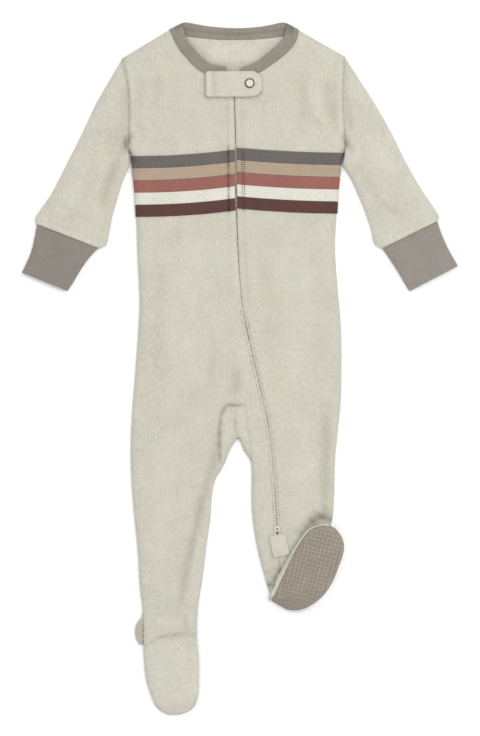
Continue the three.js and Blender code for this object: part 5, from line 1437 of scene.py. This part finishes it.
# Rows of stitches, laid on the top skin and over the tapes where they are
tapeCover = {"top": 228, "bottom": 166, "lift": 1.1}
right, left, outer = -zipStitch["right"], zipStitch["left"], zipStitch["leftOuter"]
stitchRows = {
    # name: runs beside the zip (from, to, how far aside), pitch, size of a stitch, thread, lift, unevenness
    "zip_stitches_plain": ([(303, 232, left), (303, 232, outer), (281, 232, right), (164, 60, left),
                            (164, 60, outer), (164, 100, right)], 2.6, (0.8, 0.26, 0.16), thread, 0.12, 0.2),
    "zip_stitches_tapes": ([(228, 166, 6.4), (228, 166, 9.0)], 2.1, (0.68, 0.5, 0.24), darkThread, 0.12, 0.2),
    "zip_stitches_low": ([(60, -160, 3.0), (60, -160, -3.0)], 2.9, (0.6, 0.4, 0.2), shadeThread, 0.12, 0.45),
    "zip_beads_middle": ([(150, -30, 0)], 2.1, (0.62, 0.45, 0.3), deepThread, 0.1, 0.45),
    "zip_beads_low": ([(-30, -160, 0)], 2.9, (0.5, 0.4, 0.3), shadeThread, 0.1, 0.6),
}
ankleSeam = path((-97.5, -290.4), (-94, -288.8), (-86, -283.6), (-75.6, -280), (-63, -279.3), (-50, -280.1))


def stitchRow(name, lines, pitch, size, material, lift, uneven):
    runs = []
    for line in lines:
        run = topSkin(line[:, 0][None], line[:, 1][None])[0][0]
        onTape = (run[:, 1] < tapeCover["top"]) & (run[:, 1] > tapeCover["bottom"])
        run[:, 2] += lift + np.where(onTape, tapeCover["lift"], 0)
        runs.append(run)
    beadRow(name, runs, pitch, size, material, "velour", uneven=uneven)


for name, (runs, *look) in stitchRows.items():
    stitchRow(name, [zipRun(*run, step=1.5) for run in runs], *look)
stitchRow("ankle_stitches", [ankleSeam], 2.6, (0.7, 0.3, 0.2), shadeThread, 0.12, 0.3)
print("sleepsuit: stitches and dots")

# Floor, light and camera
studio = {"floorHalf": 3, "floorDrop": 0.2, "sky": 0.9, "lampSize": 1.0, "lampPower": 21,
          "lampAt": (0.9, 0.8, 2.4), "lens": 135, "sensor": 36, "longSide": 772.8, "focusHeight": 5}
floorMesh = bpy.data.meshes.new("floor")
reach = studio["floorHalf"]
floorMesh.from_pydata([(-reach, -reach, 0), (reach, -reach, 0), (reach, reach, 0), (-reach, reach, 0)], [],
                      [(0, 1, 2, 3)])
floorMesh.materials.append(solid("white table", "#fdfdfd", 0.95))
floor = placed("floor", floorMesh)
floor.location.z = -studio["floorDrop"] * mm
world = bpy.data.worlds.new("studio")
bpy.context.scene.world = world
world.use_nodes = True
world.node_tree.nodes["Background"].inputs[0].default_value = (1, 1, 1, 1)
world.node_tree.nodes["Background"].inputs[1].default_value = studio["sky"]
lampData = bpy.data.lights.new("softbox", "AREA")
lampData.size = studio["lampSize"]
lampData.energy = studio["lampPower"]
lamp = placed("softbox", lampData)
lamp.location = studio["lampAt"]
lamp.rotation_euler = (Vector((0, 0, 0)) - lamp.location).to_track_quat("-Z", "Y").to_euler()
cameraData = bpy.data.cameras.new("straight above")
cameraData.lens = studio["lens"]
cameraData.sensor_width = studio["sensor"]
camera = placed("straight above", cameraData)
distance = studio["longSide"] * studio["lens"] / studio["sensor"] + studio["focusHeight"]
camera.location = (0, 0, distance * mm)
bpy.context.scene.camera = camera
bpy.context.scene.view_settings.view_transform = "Standard"
